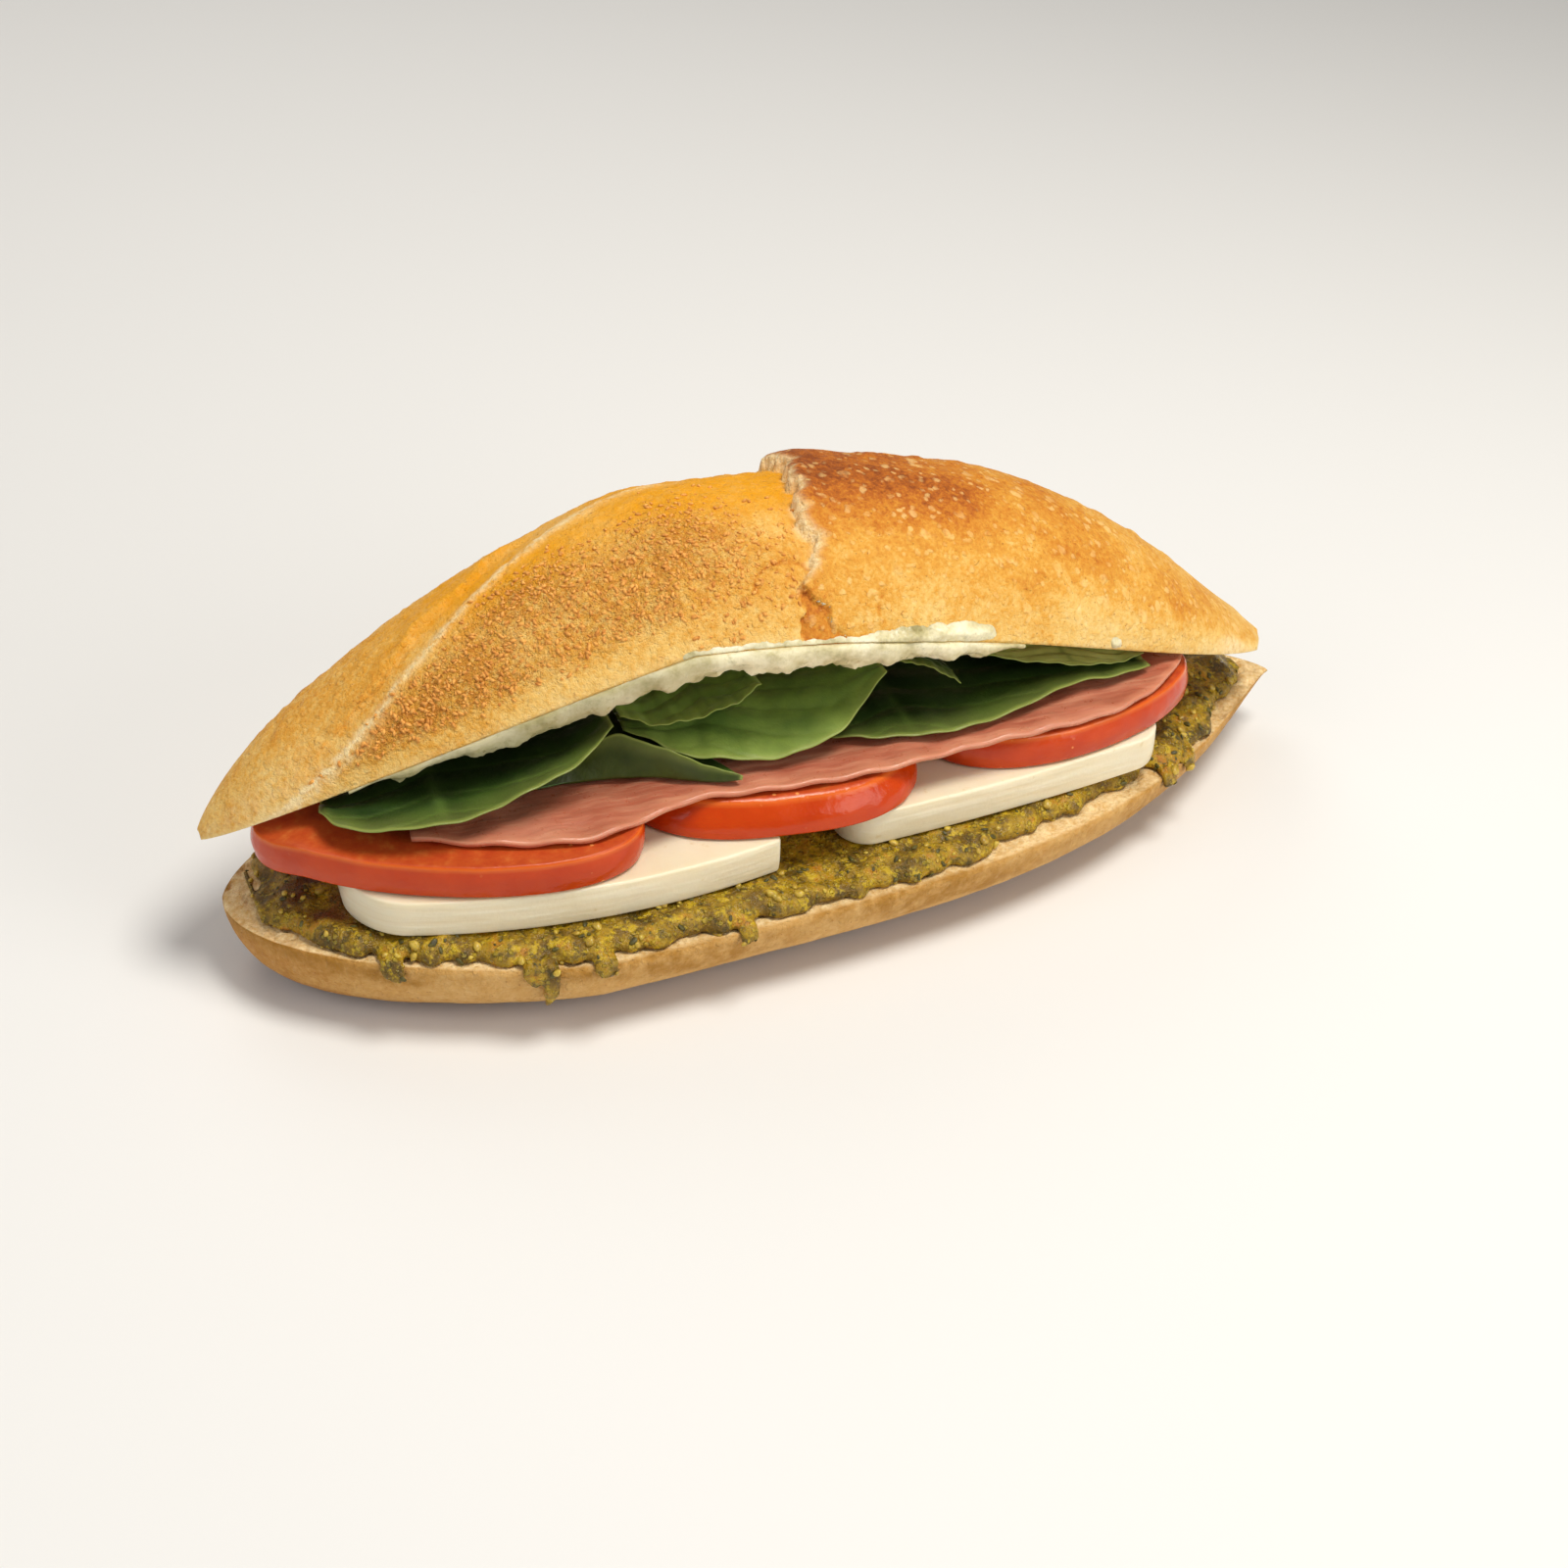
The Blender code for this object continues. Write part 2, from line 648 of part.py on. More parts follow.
def leaf_fold(mat):
    rim = [(-64.0, -14.4, 43.6), (-55.0, -13.6, 46.2), (-47.9, -14.4, 49.6),
           (-42.0, -17.6, 48.6), (-36.0, -21.4, 46.8), (-30.4, -24.0, 45.2),
           (-24.2, -25.2, 43.6)]
    fold = [(-66.0, -17.6, 41.6), (-58.0, -17.2, 41.4), (-50.0, -18.0, 41.4),
            (-43.0, -19.6, 41.4), (-36.0, -22.2, 41.4), (-30.0, -25.0, 41.4),
            (-25.4, -26.6, 41.6)]
    back = [(-62.0, 2.0, 41.4), (-52.0, 8.0, 41.4), (-42.0, 8.0, 41.4), (-30.0, -8.0, 41.4)]
    return leaf("leaf_fold", rim, back, mat, 0.0, 0.15, 13, 8, tuck=fold)


def leaf_back(mat):
    front = [(-46.2, -12.4, 52.2), (-38.6, -16.6, 51.6), (-30.4, -17.0, 52.2),
             (-21.8, -16.0, 53.6), (-15.5, -13.0, 55.0)]
    back = [(-44.0, 14.0, 48.4), (-34.0, 20.0, 47.0), (-24.0, 20.0, 47.4), (-14.0, 14.0, 50.0)]
    return leaf("leaf_back", front, back, mat, 0.8, 0.3, 9, 5)


def leaf_centre(mat):
    front = [(-45.0, -11.5, 48.0), (-39.5, -15.8, 46.9), (-33.0, -20.2, 45.0), (-23.9, -23.0, 44.2),
             (-13.3, -24.0, 43.8), (-2.2, -22.9, 46.0), (5.7, -18.9, 50.4),
             (12.3, -14.8, 54.2)]
    back = [(-43.0, 8.0, 45.6), (-24.0, 20.0, 45.0), (-8.0, 24.0, 45.0), (6.0, 18.0, 48.0),
            (12.6, 2.0, 52.8)]
    return leaf("leaf_centre", front, back, mat, -2.0, 0.3, 15, 7)


def leaf_small(mat):
    front = [(14.4, -6.0, 55.0), (15.6, -12.4, 54.6), (20.0, -14.2, 54.2),
             (24.8, -17.0, 52.6), (28.0, -19.0, 50.8)]
    back = [(15.4, 8.0, 50.8), (19.6, 10.0, 49.6), (25.0, 9.0, 48.6), (30.0, 4.0, 47.6)]
    return leaf("leaf_small", front, back, mat, -0.8, 0.2, 8, 5)


def leaf_right(mat):
    front = [(-1.1, -18.6, 42.4), (7.0, -21.4, 42.4), (15.0, -22.4, 42.4),
             (22.8, -23.9, 42.2), (33.1, -22.8, 42.6), (47.5, -19.5, 43.2),
             (59.7, -16.2, 44.0), (70.2, -15.2, 42.8), (79.1, -12.4, 41.8)]
    back = [(2.0, 8.0, 42.2), (16.0, 20.0, 42.2), (34.0, 25.0, 42.0), (52.0, 24.0, 41.8),
            (68.0, 17.0, 41.6), (79.0, 4.0, 41.4)]
    return leaf("leaf_right", front, back, mat, 0.6, 0.3, 21, 7)


def leaf_upper_right(mat):
    front = [(38.0, -9.0, 50.0), (47.0, -11.0, 48.2), (56.0, -12.4, 46.6),
             (65.0, -12.8, 45.0), (73.0, -11.4, 43.8), (79.4, -8.6, 42.8)]
    back = [(40.0, 8.0, 46.8), (50.0, 12.0, 45.4), (60.0, 12.0, 44.2), (70.0, 8.0, 43.2),
            (78.0, 1.0, 42.6)]
    return leaf("leaf_upper_right", front, back, mat, 0.3, 0.2, 10, 5)


def cream_thick(x):
    thin = 2.2 + 3.2 * smooth(-96.0, -62.0, x) - 1.6 * smooth(-4.0, 30.0, x)
    return thin + 0.5 * math.sin(0.33 * x) + 0.35 * math.sin(0.81 * x + 0.6)


def cream(mat):
    """Creamy spread under the crown: thick at the front edge, thin behind."""
    upper = []
    lower = []
    for x in sorted(list(stations(-103.0, 42.0, 35)) + [-34.2]):
        (fy, fz), (by, bz) = crown_edges(x)
        end = min(1.0, max(0.3, (x + 103.0) / 10.0), max(0.3, (42.0 - x) / 10.0))
        thick = cream_thick(x) * end
        y0 = fy + 0.7 + 0.5 * math.sin(0.5 * x)
        y1 = y0 + 0.62 * (by - fy)
        row_up = []
        row_low = []
        for k in range(8):
            u = (k / 7.0) ** 1.7
            y = y0 + (y1 - y0) * u
            near = min(1.0, (y - y0) / 2.2)
            rise = 0.3 + 0.7 * math.sqrt(near * (2.0 - near))
            bump = 0.35 * lumps(1.4 * x, 1.8 * y, 2.0) * near * math.exp(-(y - y0) / 14.0)
            low = max(0.4, thick * rise * (1.0 - 0.78 * u) + bump * end)
            z = float(crown_under(x, y)) - 1.5 * GAP
            row_up.append((x, y, z))
            row_low.append((x, y, z - low))
        upper.append(row_up)
        lower.append(row_low)
    verts, faces = blanket(lower, upper)
    return make_mesh("cream", verts, faces, mat)


clear_scene()
PARTS = bpy.data.collections.new("submarine_sandwich")
bpy.context.scene.collection.children.link(PARTS)

CRUST = material("crust", (0.72, 0.45, 0.17), 0.7)
HEEL_CRUST = material("heel_crust", (0.74, 0.53, 0.30), 0.75)
PESTO = material("pesto_sauce", (0.23, 0.21, 0.035), 0.3)
CHEESE = material("mozzarella_cheese", (0.87, 0.82, 0.66), 0.45)
TOMATO = material("tomato_flesh", (0.72, 0.11, 0.025), 0.25)
HAM = material("ham_meat", (0.72, 0.33, 0.27), 0.4)
LEAF = material("leaf_green", (0.045, 0.13, 0.018), 0.4)
CREAM = material("cream_spread", (0.80, 0.80, 0.66), 0.4)

bread_bottom(HEEL_CRUST)
pesto(PESTO)
mozzarella_left(CHEESE)
mozzarella_right(CHEESE)
tomato_left(TOMATO)
tomato_middle(TOMATO)
tomato_right(TOMATO)
ham(HAM)
leaf_left(LEAF)
leaf_fold(LEAF)
leaf_back(LEAF)
leaf_centre(LEAF)
leaf_small(LEAF)
leaf_right(LEAF)
leaf_upper_right(LEAF)
cream(CREAM)
bread_top(CRUST)

for item in PARTS.objects:
    print(item.name, len(item.data.polygons))
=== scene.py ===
# %% [markdown]
# # Submarine sandwich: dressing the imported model
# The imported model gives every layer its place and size. This lesson builds each
# layer again as a fine mesh with the same shape functions, then adds what baking,
# slicing and spreading leave on real food. Lengths are in millimetres until a mesh
# is made, because food is easier to think about that way.

# %% Load the frame
import bmesh
import bpy
import math
import numpy as np
from mathutils import Matrix, Vector


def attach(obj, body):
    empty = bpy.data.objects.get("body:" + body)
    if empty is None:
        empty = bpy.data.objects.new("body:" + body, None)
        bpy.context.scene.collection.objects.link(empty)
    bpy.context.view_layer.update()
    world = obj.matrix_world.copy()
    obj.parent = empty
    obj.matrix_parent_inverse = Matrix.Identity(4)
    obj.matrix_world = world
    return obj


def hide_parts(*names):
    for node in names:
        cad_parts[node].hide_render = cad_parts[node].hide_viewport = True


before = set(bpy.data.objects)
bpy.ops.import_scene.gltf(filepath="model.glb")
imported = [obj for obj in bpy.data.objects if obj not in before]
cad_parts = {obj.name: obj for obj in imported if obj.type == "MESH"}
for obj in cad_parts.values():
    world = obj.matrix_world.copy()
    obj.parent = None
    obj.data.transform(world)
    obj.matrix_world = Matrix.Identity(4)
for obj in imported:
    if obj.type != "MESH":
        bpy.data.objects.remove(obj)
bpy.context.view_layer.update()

MM = 0.001
SHIFT = np.array([-0.775, 1.84, 0.0])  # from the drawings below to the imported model
SCENE = bpy.context.scene

# %% [markdown]
# ## Camera
# The photograph looks down at about 35 degrees on the open side of the roll, a
# little from its left end. The lens and the small roll of the camera were worked
# out from straight lines of known size beside the food.

# %% Camera
right = Vector((0.924409, -0.376348, 0.061893))
up = Vector((0.169658, 0.551088, 0.817018))
back = -Vector((0.341592, 0.744758, -0.573281))
cam_data = bpy.data.cameras.new("camera")
cam_data.lens = 56.364
cam_data.sensor_width = 36.0
cam_data.clip_start = 0.01
cam = bpy.data.objects.new("camera", cam_data)
place = Matrix((right, up, back)).transposed().to_4x4()
place.translation = Vector((-0.18824, -0.40447, 0.32953)) + Vector(SHIFT) * MM
cam.matrix_world = place
SCENE.collection.objects.link(cam)
SCENE.camera = cam
SCENE.view_settings.view_transform = "Standard"
print("camera at", [round(v, 3) for v in place.translation])

# %% [markdown]
# ## Lamps
# Bread and wet fillings need soft light that still has a side to it. One large disk
# lamp overhead would flatten the crust, so the main lamp stands high and a little in
# front on the right, and three weaker ones fill the open side, the left and the back.

# %% Lamps
LAMPS = [  # name, size in m, power in W, place, height of the aim, colour
    ("key", 0.40, 6.8, (0.20, -0.16, 0.92), 0.04, (1.0, 0.965, 0.90)),
    ("front", 0.7, 4.2, (0.60, -0.75, 0.42), 0.03, (1.0, 0.97, 0.92)),
    ("left", 0.7, 2.0, (-0.80, -0.25, 0.55), 0.05, (0.98, 0.98, 1.0)),
    ("rear", 0.6, 1.8, (-0.15, 0.75, 0.7), 0.05, (1.0, 0.97, 0.93))]
for name, size, power, spot, aim, color in LAMPS:
    data = bpy.data.lights.new(name, "AREA")
    data.shape = "DISK"
    data.size = size
    data.energy = power
    data.color = color
    lamp = bpy.data.objects.new(name, data)
    lamp.location = spot
    way = Vector((0.0, 0.0, aim)) - Vector(spot)
    lamp.rotation_euler = way.to_track_quat("-Z", "Y").to_euler()
    SCENE.collection.objects.link(lamp)
print(len(LAMPS), "lamps,", round(sum(row[2] for row in LAMPS), 1), "W")

# %% [markdown]
# ## Floor and world
# The food stands on a pale, matt floor. A single square is enough, because it only
# has to catch the shadow. A dim, even world keeps the shadows from going black.

# %% Floor and world
world = bpy.data.worlds.new("studio")
world.use_nodes = True
sky = world.node_tree.nodes["Background"].inputs
sky["Color"].default_value = (0.96, 0.96, 0.95, 1.0)
sky["Strength"].default_value = 0.22
SCENE.world = world

FLOOR_HALF = 3.0
corners = [(x * FLOOR_HALF, y * FLOOR_HALF, 0) for x, y in ((-1, -1), (1, -1), (1, 1), (-1, 1))]
floor_mesh = bpy.data.meshes.new("floor")
floor_mesh.from_pydata(corners, [], [(0, 1, 2, 3)])
floor = bpy.data.objects.new("floor", floor_mesh)
SCENE.collection.objects.link(floor)
floor_mat = bpy.data.materials.new("floor")
floor_mat.use_nodes = True
matt = floor_mat.node_tree.nodes["Principled BSDF"].inputs
matt["Base Color"].default_value = (0.80, 0.79, 0.77, 1.0)
matt["Roughness"].default_value = 0.9
floor_mesh.materials.append(floor_mat)
print("floor", 2 * FLOOR_HALF, "m wide")

# %% [markdown]
# ## Outlines that swell and taper
# Food has no straight lines: seen from above, a roll swells from one tip to the
# other. A drawn curve would need many points, so each outline is a hump with its own
# roundness left and right. Soft steps and bells then place every local feature.


# %% Outline helpers
def lobe(x, peak, x0, x1, pl, ql, pr, qr):
    """A hump from 0 at x0 to 1 at the peak and 0 at x1; p and q shape each side."""
    x = np.asarray(x, float)
    s = np.where(x < peak, (peak - x) / (peak - x0), (x - peak) / (x1 - peak))
    s = np.clip(s, 0.0, 1.0)
    p = np.where(x < peak, pl, pr)
    q = np.where(x < peak, ql, qr)
    return np.maximum(1.0 - s ** p, 0.0) ** q


def smooth(a, b, x):
    """A soft step from 0 at a to 1 at b, or downwards where a is the larger."""
    t = np.clip((np.asarray(x, float) - a) / (b - a), 0.0, 1.0)
    return t * t * (3.0 - 2.0 * t)


def bell(x, mid, width):
    return np.exp(-((np.asarray(x, float) - mid) / width) ** 2)


def stations(x0, x1, n):
    """n places from x0 to x1 that crowd towards both ends, where the tips curve."""
    t = np.linspace(0.0, 1.0, n)
    return x0 + (x1 - x0) * (0.5 - 0.5 * np.cos(math.pi * t))


print("hump at a quarter", lobe(-50.0, 0.0, -100.0, 100.0, 2.0, 0.5, 2.0, 0.5).round(3))

# %% [markdown]
# ## Noise for lumps and pits
# Crust, sauce and leaves are uneven at several sizes at once. A displace modifier
# could do it, but its texture can't follow a crack or a rim. So the noise is worked
# out here from a hashed lattice, at any points, and is the same on every run.


# %% Noise
def lattice(ix, iy, iz, seed):
    h = (ix * 73856093) ^ (iy * 19349663) ^ (iz * 83492791) ^ (seed * 2654435)
    h = (h ^ (h >> 13)) * 1274126177 & 0xFFFFFFFF
    h = (h ^ (h >> 16)) * 2246822519 & 0xFFFFFFFF
    return ((h >> 9) & 0xFFFF) / 32767.5 - 1.0


def noise(p, scale, seed=1):
    """Smooth noise from -1 to 1 at points p, with lumps about scale mm wide."""
    q = np.asarray(p, float) / scale + 500.0
    i = np.floor(q).astype(np.int64)
    f = q - i
    f = f * f * (3.0 - 2.0 * f)
    out = 0.0
    for dx in (0, 1):
        for dy in (0, 1):
            for dz in (0, 1):
                w = (f[..., 0] if dx else 1 - f[..., 0])
                w = w * (f[..., 1] if dy else 1 - f[..., 1])
                w = w * (f[..., 2] if dz else 1 - f[..., 2])
                out = out + w * lattice(i[..., 0] + dx, i[..., 1] + dy, i[..., 2] + dz, seed)
    return out


def fractal(p, scale, seed=1, octaves=3):
    """Noise with finer and weaker noise on top of it."""
    out = 0.0
    size = 1.0
    for k in range(octaves):
        out = out + size * noise(p, scale / 2.0 ** k, seed + 17 * k)
        size *= 0.5
    return out


line = noise(np.linspace([0, 0, 0], [90, 9, 9], 400), 5.0)
print("noise from", line.min().round(2), "to", line.max().round(2))

# %% [markdown]
# ## Grids and closed lofts
# Almost every layer is one or two grids of points: a ring swept along the roll for
# bread and slices, two blankets for a spread, one sheet for a leaf. Sculpting would
# hide the sizes; grids keep them readable. These helpers join grids into a closed
# mesh, so that each piece has an inside and an outside like the real layer.


# %% Grid helpers
def grid_faces(rows, cols, start=0, flip=False, wrap=False):
    i, j = np.meshgrid(np.arange(rows - 1), np.arange(cols if wrap else cols - 1),
                       indexing="ij")
    a = start + i * cols + j
    b = start + i * cols + (j + 1) % cols
    quads = np.stack([a, b, b + cols, a + cols], -1).reshape(-1, 4)
    return quads[:, ::-1] if flip else quads


def shell(inner, outer):
    """Closed shell from two equal grids (rows, cols, 3): points and faces."""
    rows, cols = inner.shape[:2]
    top = rows * cols
    faces = list(grid_faces(rows, cols)) + list(grid_faces(rows, cols, top, True))
    edge = [(0, j) for j in range(cols)] + [(i, cols - 1) for i in range(1, rows)]
    edge += [(rows - 1, j) for j in range(cols - 2, -1, -1)]
    edge += [(i, 0) for i in range(rows - 2, 0, -1)]
    ring = [i * cols + j for i, j in edge]
    for a, b in zip(ring, ring[1:] + ring[:1]):
        faces.append((b, a, top + a, top + b))
    return np.concatenate([inner.reshape(-1, 3), outer.reshape(-1, 3)]), faces


def tube(rings):
    """Closed loft from rings (rows, cols, 3) with a hub at each end."""
    rows, cols = rings.shape[:2]
    verts = np.concatenate([rings.reshape(-1, 3), rings[[0, -1]].mean(axis=1)])
    faces = list(grid_faces(rows, cols, 0, False, True))
    hub = rows * cols
    last = hub - cols
    for j in range(cols):
        k = (j + 1) % cols
        faces += [(k, j, hub), (last + j, last + k, hub + 1)]
    return verts, faces


def tube_values(*parts):
    """Joins values side by side, as the rings are, with a zero for each hub."""
    return np.append(np.concatenate(parts, 1), [0.0, 0.0])


print("a 4 by 3 grid has", len(grid_faces(4, 3)), "faces")

# %% [markdown]
# ## From points to a named piece
# A mesh takes its points in metres, one material and any values the material reads.
# Lofts can come out inside out, depending on which way round they were swept, so each
# one is measured: a closed mesh that faces outwards has a positive volume.


# %% Piece helpers
def face_outward(mesh):
    """Turns a closed mesh right side out: its signed volume has to be positive."""
    co = np.empty(len(mesh.vertices) * 3)
    mesh.vertices.foreach_get("co", co)
    mesh.calc_loop_triangles()
    corner = np.empty(len(mesh.loop_triangles) * 3, np.int32)
    mesh.loop_triangles.foreach_get("vertices", corner)
    v = co.reshape(-1, 3)[corner.reshape(-1, 3)]
    if (v[:, 0] * np.cross(v[:, 1], v[:, 2])).sum() < 0.0:
        mesh.flip_normals()


def store(mesh, values):
    """Keeps one number per point and name, for materials and scattering to read."""
    for key, data in values.items():
        attr = mesh.attributes.new(key, "FLOAT", "POINT")
        attr.data.foreach_set("value", np.asarray(data, np.float32).ravel())


def piece(name, verts, faces, material, values=None, smooth_shade=True):
    """Makes a mesh object from millimetre points; faces are quads or triangles."""
    mesh = bpy.data.meshes.new(name)
    mesh.from_pydata(((np.asarray(verts) + SHIFT) * MM).tolist(), [],
                     [list(map(int, f)) for f in faces])
    store(mesh, values or {})
    mesh.materials.append(material)
    mesh.polygons.foreach_set("use_smooth", [smooth_shade] * len(mesh.polygons))
    mesh.update()
    face_outward(mesh)
    obj = bpy.data.objects.new(name, mesh)
    SCENE.collection.objects.link(obj)
    return obj


def settle(obj, node=None):
    """Rides on the body and hides the imported part that it replaces, if one is given."""
    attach(obj, "root")
    if node:
        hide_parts(node)
    tris = sum(len(f.vertices) - 2 for f in obj.data.polygons)
    print(obj.name, tris, "triangles")
    return obj


print("pieces stand", SHIFT, "mm from their drawings")

# %% [markdown]
# ## Writing a material
# Each food gets a node material: a base colour that changes with stored values and
# noise, a roughness that changes with it, and a bump for what is finer than the mesh.
# Linking every node by hand would hide the recipe, so a small class does the linking
# and the recipes below read like layers of colour. Colours are given as the eye reads
# them and turned into linear light here.


# %% Paint class
def tone(r, g, b):
    lin = []
    for v in (r, g, b):
        v = v / 255.0
        lin.append(v / 12.92 if v <= 0.04045 else ((v + 0.055) / 1.055) ** 2.4)
    return (*lin, 1.0)


class Paint:
    """A short way to write a node material; all distances are in millimetres."""

    def __init__(self, name, rough=0.5, subsurface=0.0, scatter=(1.0, 0.5, 0.3), mm=2.0,
                 gloss=0.5):
        self.mat = bpy.data.materials.new(name)
        self.mat.use_nodes = True
        self.tree = self.mat.node_tree
        self.finish = self.tree.nodes["Principled BSDF"].inputs
        self.finish["Roughness"].default_value = rough
        self.finish["Specular IOR Level"].default_value = gloss
        if subsurface:
            self.finish["Subsurface Weight"].default_value = subsurface
            self.finish["Subsurface Radius"].default_value = scatter
            self.finish["Subsurface Scale"].default_value = mm * MM
        self.coord = self.node("ShaderNodeTexCoord").outputs["Object"]

    def feed(self, value, socket):
        """Gives a socket a number or colour, or links another node's output to it."""
        if isinstance(value, (int, float, tuple)):
            socket.default_value = value
        else:
            self.tree.links.new(value, socket)

    def node(self, kind, inputs=None, **options):
        made = self.tree.nodes.new(kind)
        for key, value in options.items():
            setattr(made, key, value)
        for key, value in (inputs or {}).items():
            self.feed(value, made.inputs[key])
        return made

    def noise(self, mm, detail=3.0, rough=0.55, stretch=None):
        """Cloudy noise with lumps about mm wide; stretch works along x, y and z."""
        where = self.coord
        if stretch:
            mapping = self.node("ShaderNodeMapping", {"Scale": stretch, "Vector": where})
            where = mapping.outputs["Vector"]
        return self.node("ShaderNodeTexNoise", {
            "Scale": 1000.0 / mm, "Detail": detail, "Roughness": rough,
            "Vector": where}).outputs["Fac"]

    def cells(self, mm, bend=0.0):
        """Distance to scattered centres, mm apart; bend makes the round spots uneven."""
        where = self.coord
        if bend:
            cloud = self.node("ShaderNodeTexNoise", {"Scale": 1400.0 / mm, "Vector": where})
            where = self.node("ShaderNodeVectorMath", {
                0: cloud.outputs["Color"], 1: (bend * mm * MM,) * 3, 2: where},
                operation="MULTIPLY_ADD").outputs["Vector"]
        return self.node("ShaderNodeTexVoronoi", {
            "Scale": 1000.0 / mm, "Vector": where}).outputs["Distance"]

    def value(self, key):
        """A value stored on the piece's own points."""
        return self.node("ShaderNodeAttribute", attribute_name=key).outputs["Fac"]

    def ramp(self, source, stops):
        made = self.node("ShaderNodeValToRGB", {"Fac": source})
        bar = made.color_ramp.elements
        bar[0].position, bar[0].color = stops[0]
        bar[1].position, bar[1].color = stops[-1]
        for at, color in stops[1:-1]:
            bar.new(at).color = color
        return made.outputs["Color"]

    def band(self, source, low, high, to0=0.0, to1=1.0):
        """Stretches what lies from low to high over to0 to to1 and clips the rest."""
        return self.node("ShaderNodeMapRange", {
            "From Min": low, "From Max": high, "To Min": to0, "To Max": to1,
            "Value": source}).outputs["Result"]

    def math(self, how, a, b):
        return self.node("ShaderNodeMath", {0: a, 1: b}, operation=how).outputs["Value"]

    def coat(self, under, shade, amount, *others):
        """Lays shade over the colour under; the amounts are multiplied together."""
        for other in others:
            amount = self.math("MULTIPLY", amount, other)
        made = self.node("ShaderNodeMix", data_type="RGBA")
        for slot, item in ((0, amount), (6, under), (7, shade)):
            self.feed(item, made.inputs[slot])
        return made.outputs[2]

    def done(self, color, rough=None, bumps=()):
        """Links colour and roughness and stacks the bumps, each with its depth."""
        self.feed(color, self.finish["Base Color"])
        if rough is not None:
            self.feed(rough, self.finish["Roughness"])
        last = None
        for height, depth in bumps:
            made = self.node("ShaderNodeBump", {
                "Strength": 1.0, "Distance": depth * MM, "Height": height})
            if last:
                self.feed(last, made.inputs["Normal"])
            last = made.outputs["Normal"]
        if last:
            self.feed(last, self.finish["Normal"])
        print("material", self.mat.name, "has", len(self.tree.nodes), "nodes")
        return self.mat


print("straw colour in linear light", [round(v, 3) for v in tone(234, 190, 106)])

# %% [markdown]
# ## Crust and crumb materials
# A baked crust runs from floury cream through straw and gold to brown where it caught
# more heat. A painted picture would be sharper, but this one follows the shape on every
# side. One value carries the browning over the roll and the painted shade at the heel's
# foot, "flour" the dusty places, "crumb" the torn or cut inside, "bran" where brown specks
# with painted highlights lie, "blister" the small pale bubbles, "yellow" the golden top and
# "stain" where sauce soaked in.


# %% Bread materials
def crust_paint(name, shades):
    p = Paint(name, 0.6, 0.08, (1.0, 0.6, 0.3), 1.2, 0.2)
    patch = p.noise(9.0, 4.0, 0.6)
    mid = p.noise(2.6, 4.0, 0.7)
    fine = p.noise(0.9, 3.0, 0.65)
    bake = p.value("bake")
    for cloud, swing in ((patch, 0.10), (mid, 0.13), (fine, 0.13)):
        bake = p.math("ADD", bake, p.band(cloud, 0.25, 0.75, -swing, swing))
    color = p.ramp(bake, shades)
    color = p.coat(color, tone(232, 158, 6), p.value("yellow"),
                   p.band(mid, 0.25, 0.6, 0.65, 1.0))
    spots = p.math("MAXIMUM", p.band(p.cells(2.6, 0.7), 0.32, 0.20),
                   p.band(p.cells(5.2, 0.6), 0.26, 0.18))
    color = p.coat(color, tone(250, 208, 134), spots, p.value("blister"),
                   p.band(p.noise(5.0, 3.0), 0.35, 0.55), 0.6)
    bran = p.value("bran")
    color = p.coat(color, tone(200, 120, 42), p.band(p.noise(2.0, 2.0, 0.8), 0.50, 0.55),
                   bran, 0.5)
    # Pale flecks on the bran: painted highlights.
    color = p.coat(color, tone(248, 204, 118), p.band(p.noise(1.2, 2.0, 0.7), 0.57, 0.64),
                   bran, 0.55)
    color = p.coat(color, tone(150, 84, 30), p.band(p.noise(0.8, 1.0, 0.5), 0.70, 0.76), 0.5)
    color = p.coat(color, tone(248, 222, 166), p.value("flour"),
                   p.band(p.noise(1.6, 4.0, 0.7), 0.35, 0.62))
    inside = p.ramp(p.noise(1.4, 4.0, 0.7), [(0.3, tone(216, 170, 98)),
                                             (0.6, tone(252, 226, 174))])
    color = p.coat(color, inside, p.value("crumb"))
    color = p.coat(color, tone(168, 116, 34), p.value("stain"),
                   p.band(p.noise(3.5, 4.0, 0.65), 0.3, 0.6))
    rough = p.band(p.noise(2.0), 0.2, 0.8, 0.45, 0.72)
    grit = p.math("MULTIPLY", p.noise(1.5, 3.0, 0.8), p.math("ADD", bran, 0.15))
    return p.done(color, rough, [(mid, 0.5), (grit, 1.7), (fine, 0.36), (spots, 0.12),
                                 (p.noise(0.4, 2.0), 0.12)])


CROWN_PAINT = crust_paint("crown_crust", [
    (0.0, tone(244, 216, 152)), (0.3, tone(234, 190, 106)), (0.5, tone(222, 160, 62)),
    (0.7, tone(204, 128, 38)), (0.85, tone(180, 98, 28)), (1.0, tone(138, 68, 20))])
HEEL_PAINT = crust_paint("heel_crust", [
    (0.0, tone(228, 190, 130)), (0.35, tone(210, 162, 92)), (0.6, tone(190, 134, 62)),
    (0.85, tone(172, 110, 40)), (1.0, tone(134, 76, 26))])

# %% [markdown]
# ## The heel
# The bottom half of the roll is a flat-based boat: a steep, smooth crust, a cut
# face and a blunt left end. It could be a squashed cylinder with a Boolean cut, but a
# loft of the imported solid's own cross-section keeps the rim exactly where the sauce
# and the drips need it. The open crumb of the cut face is pressed in as small pits.

# %% Heel sizes
HEEL_X0, HEEL_X1 = -127.0, 132.0
HEEL_TOP = 18.0
HEEL_CURVE = 2.7  # 2 is an ellipse, more is squarer
HEEL_LINE = 14.73  # how far the right tip stands back from the left tip


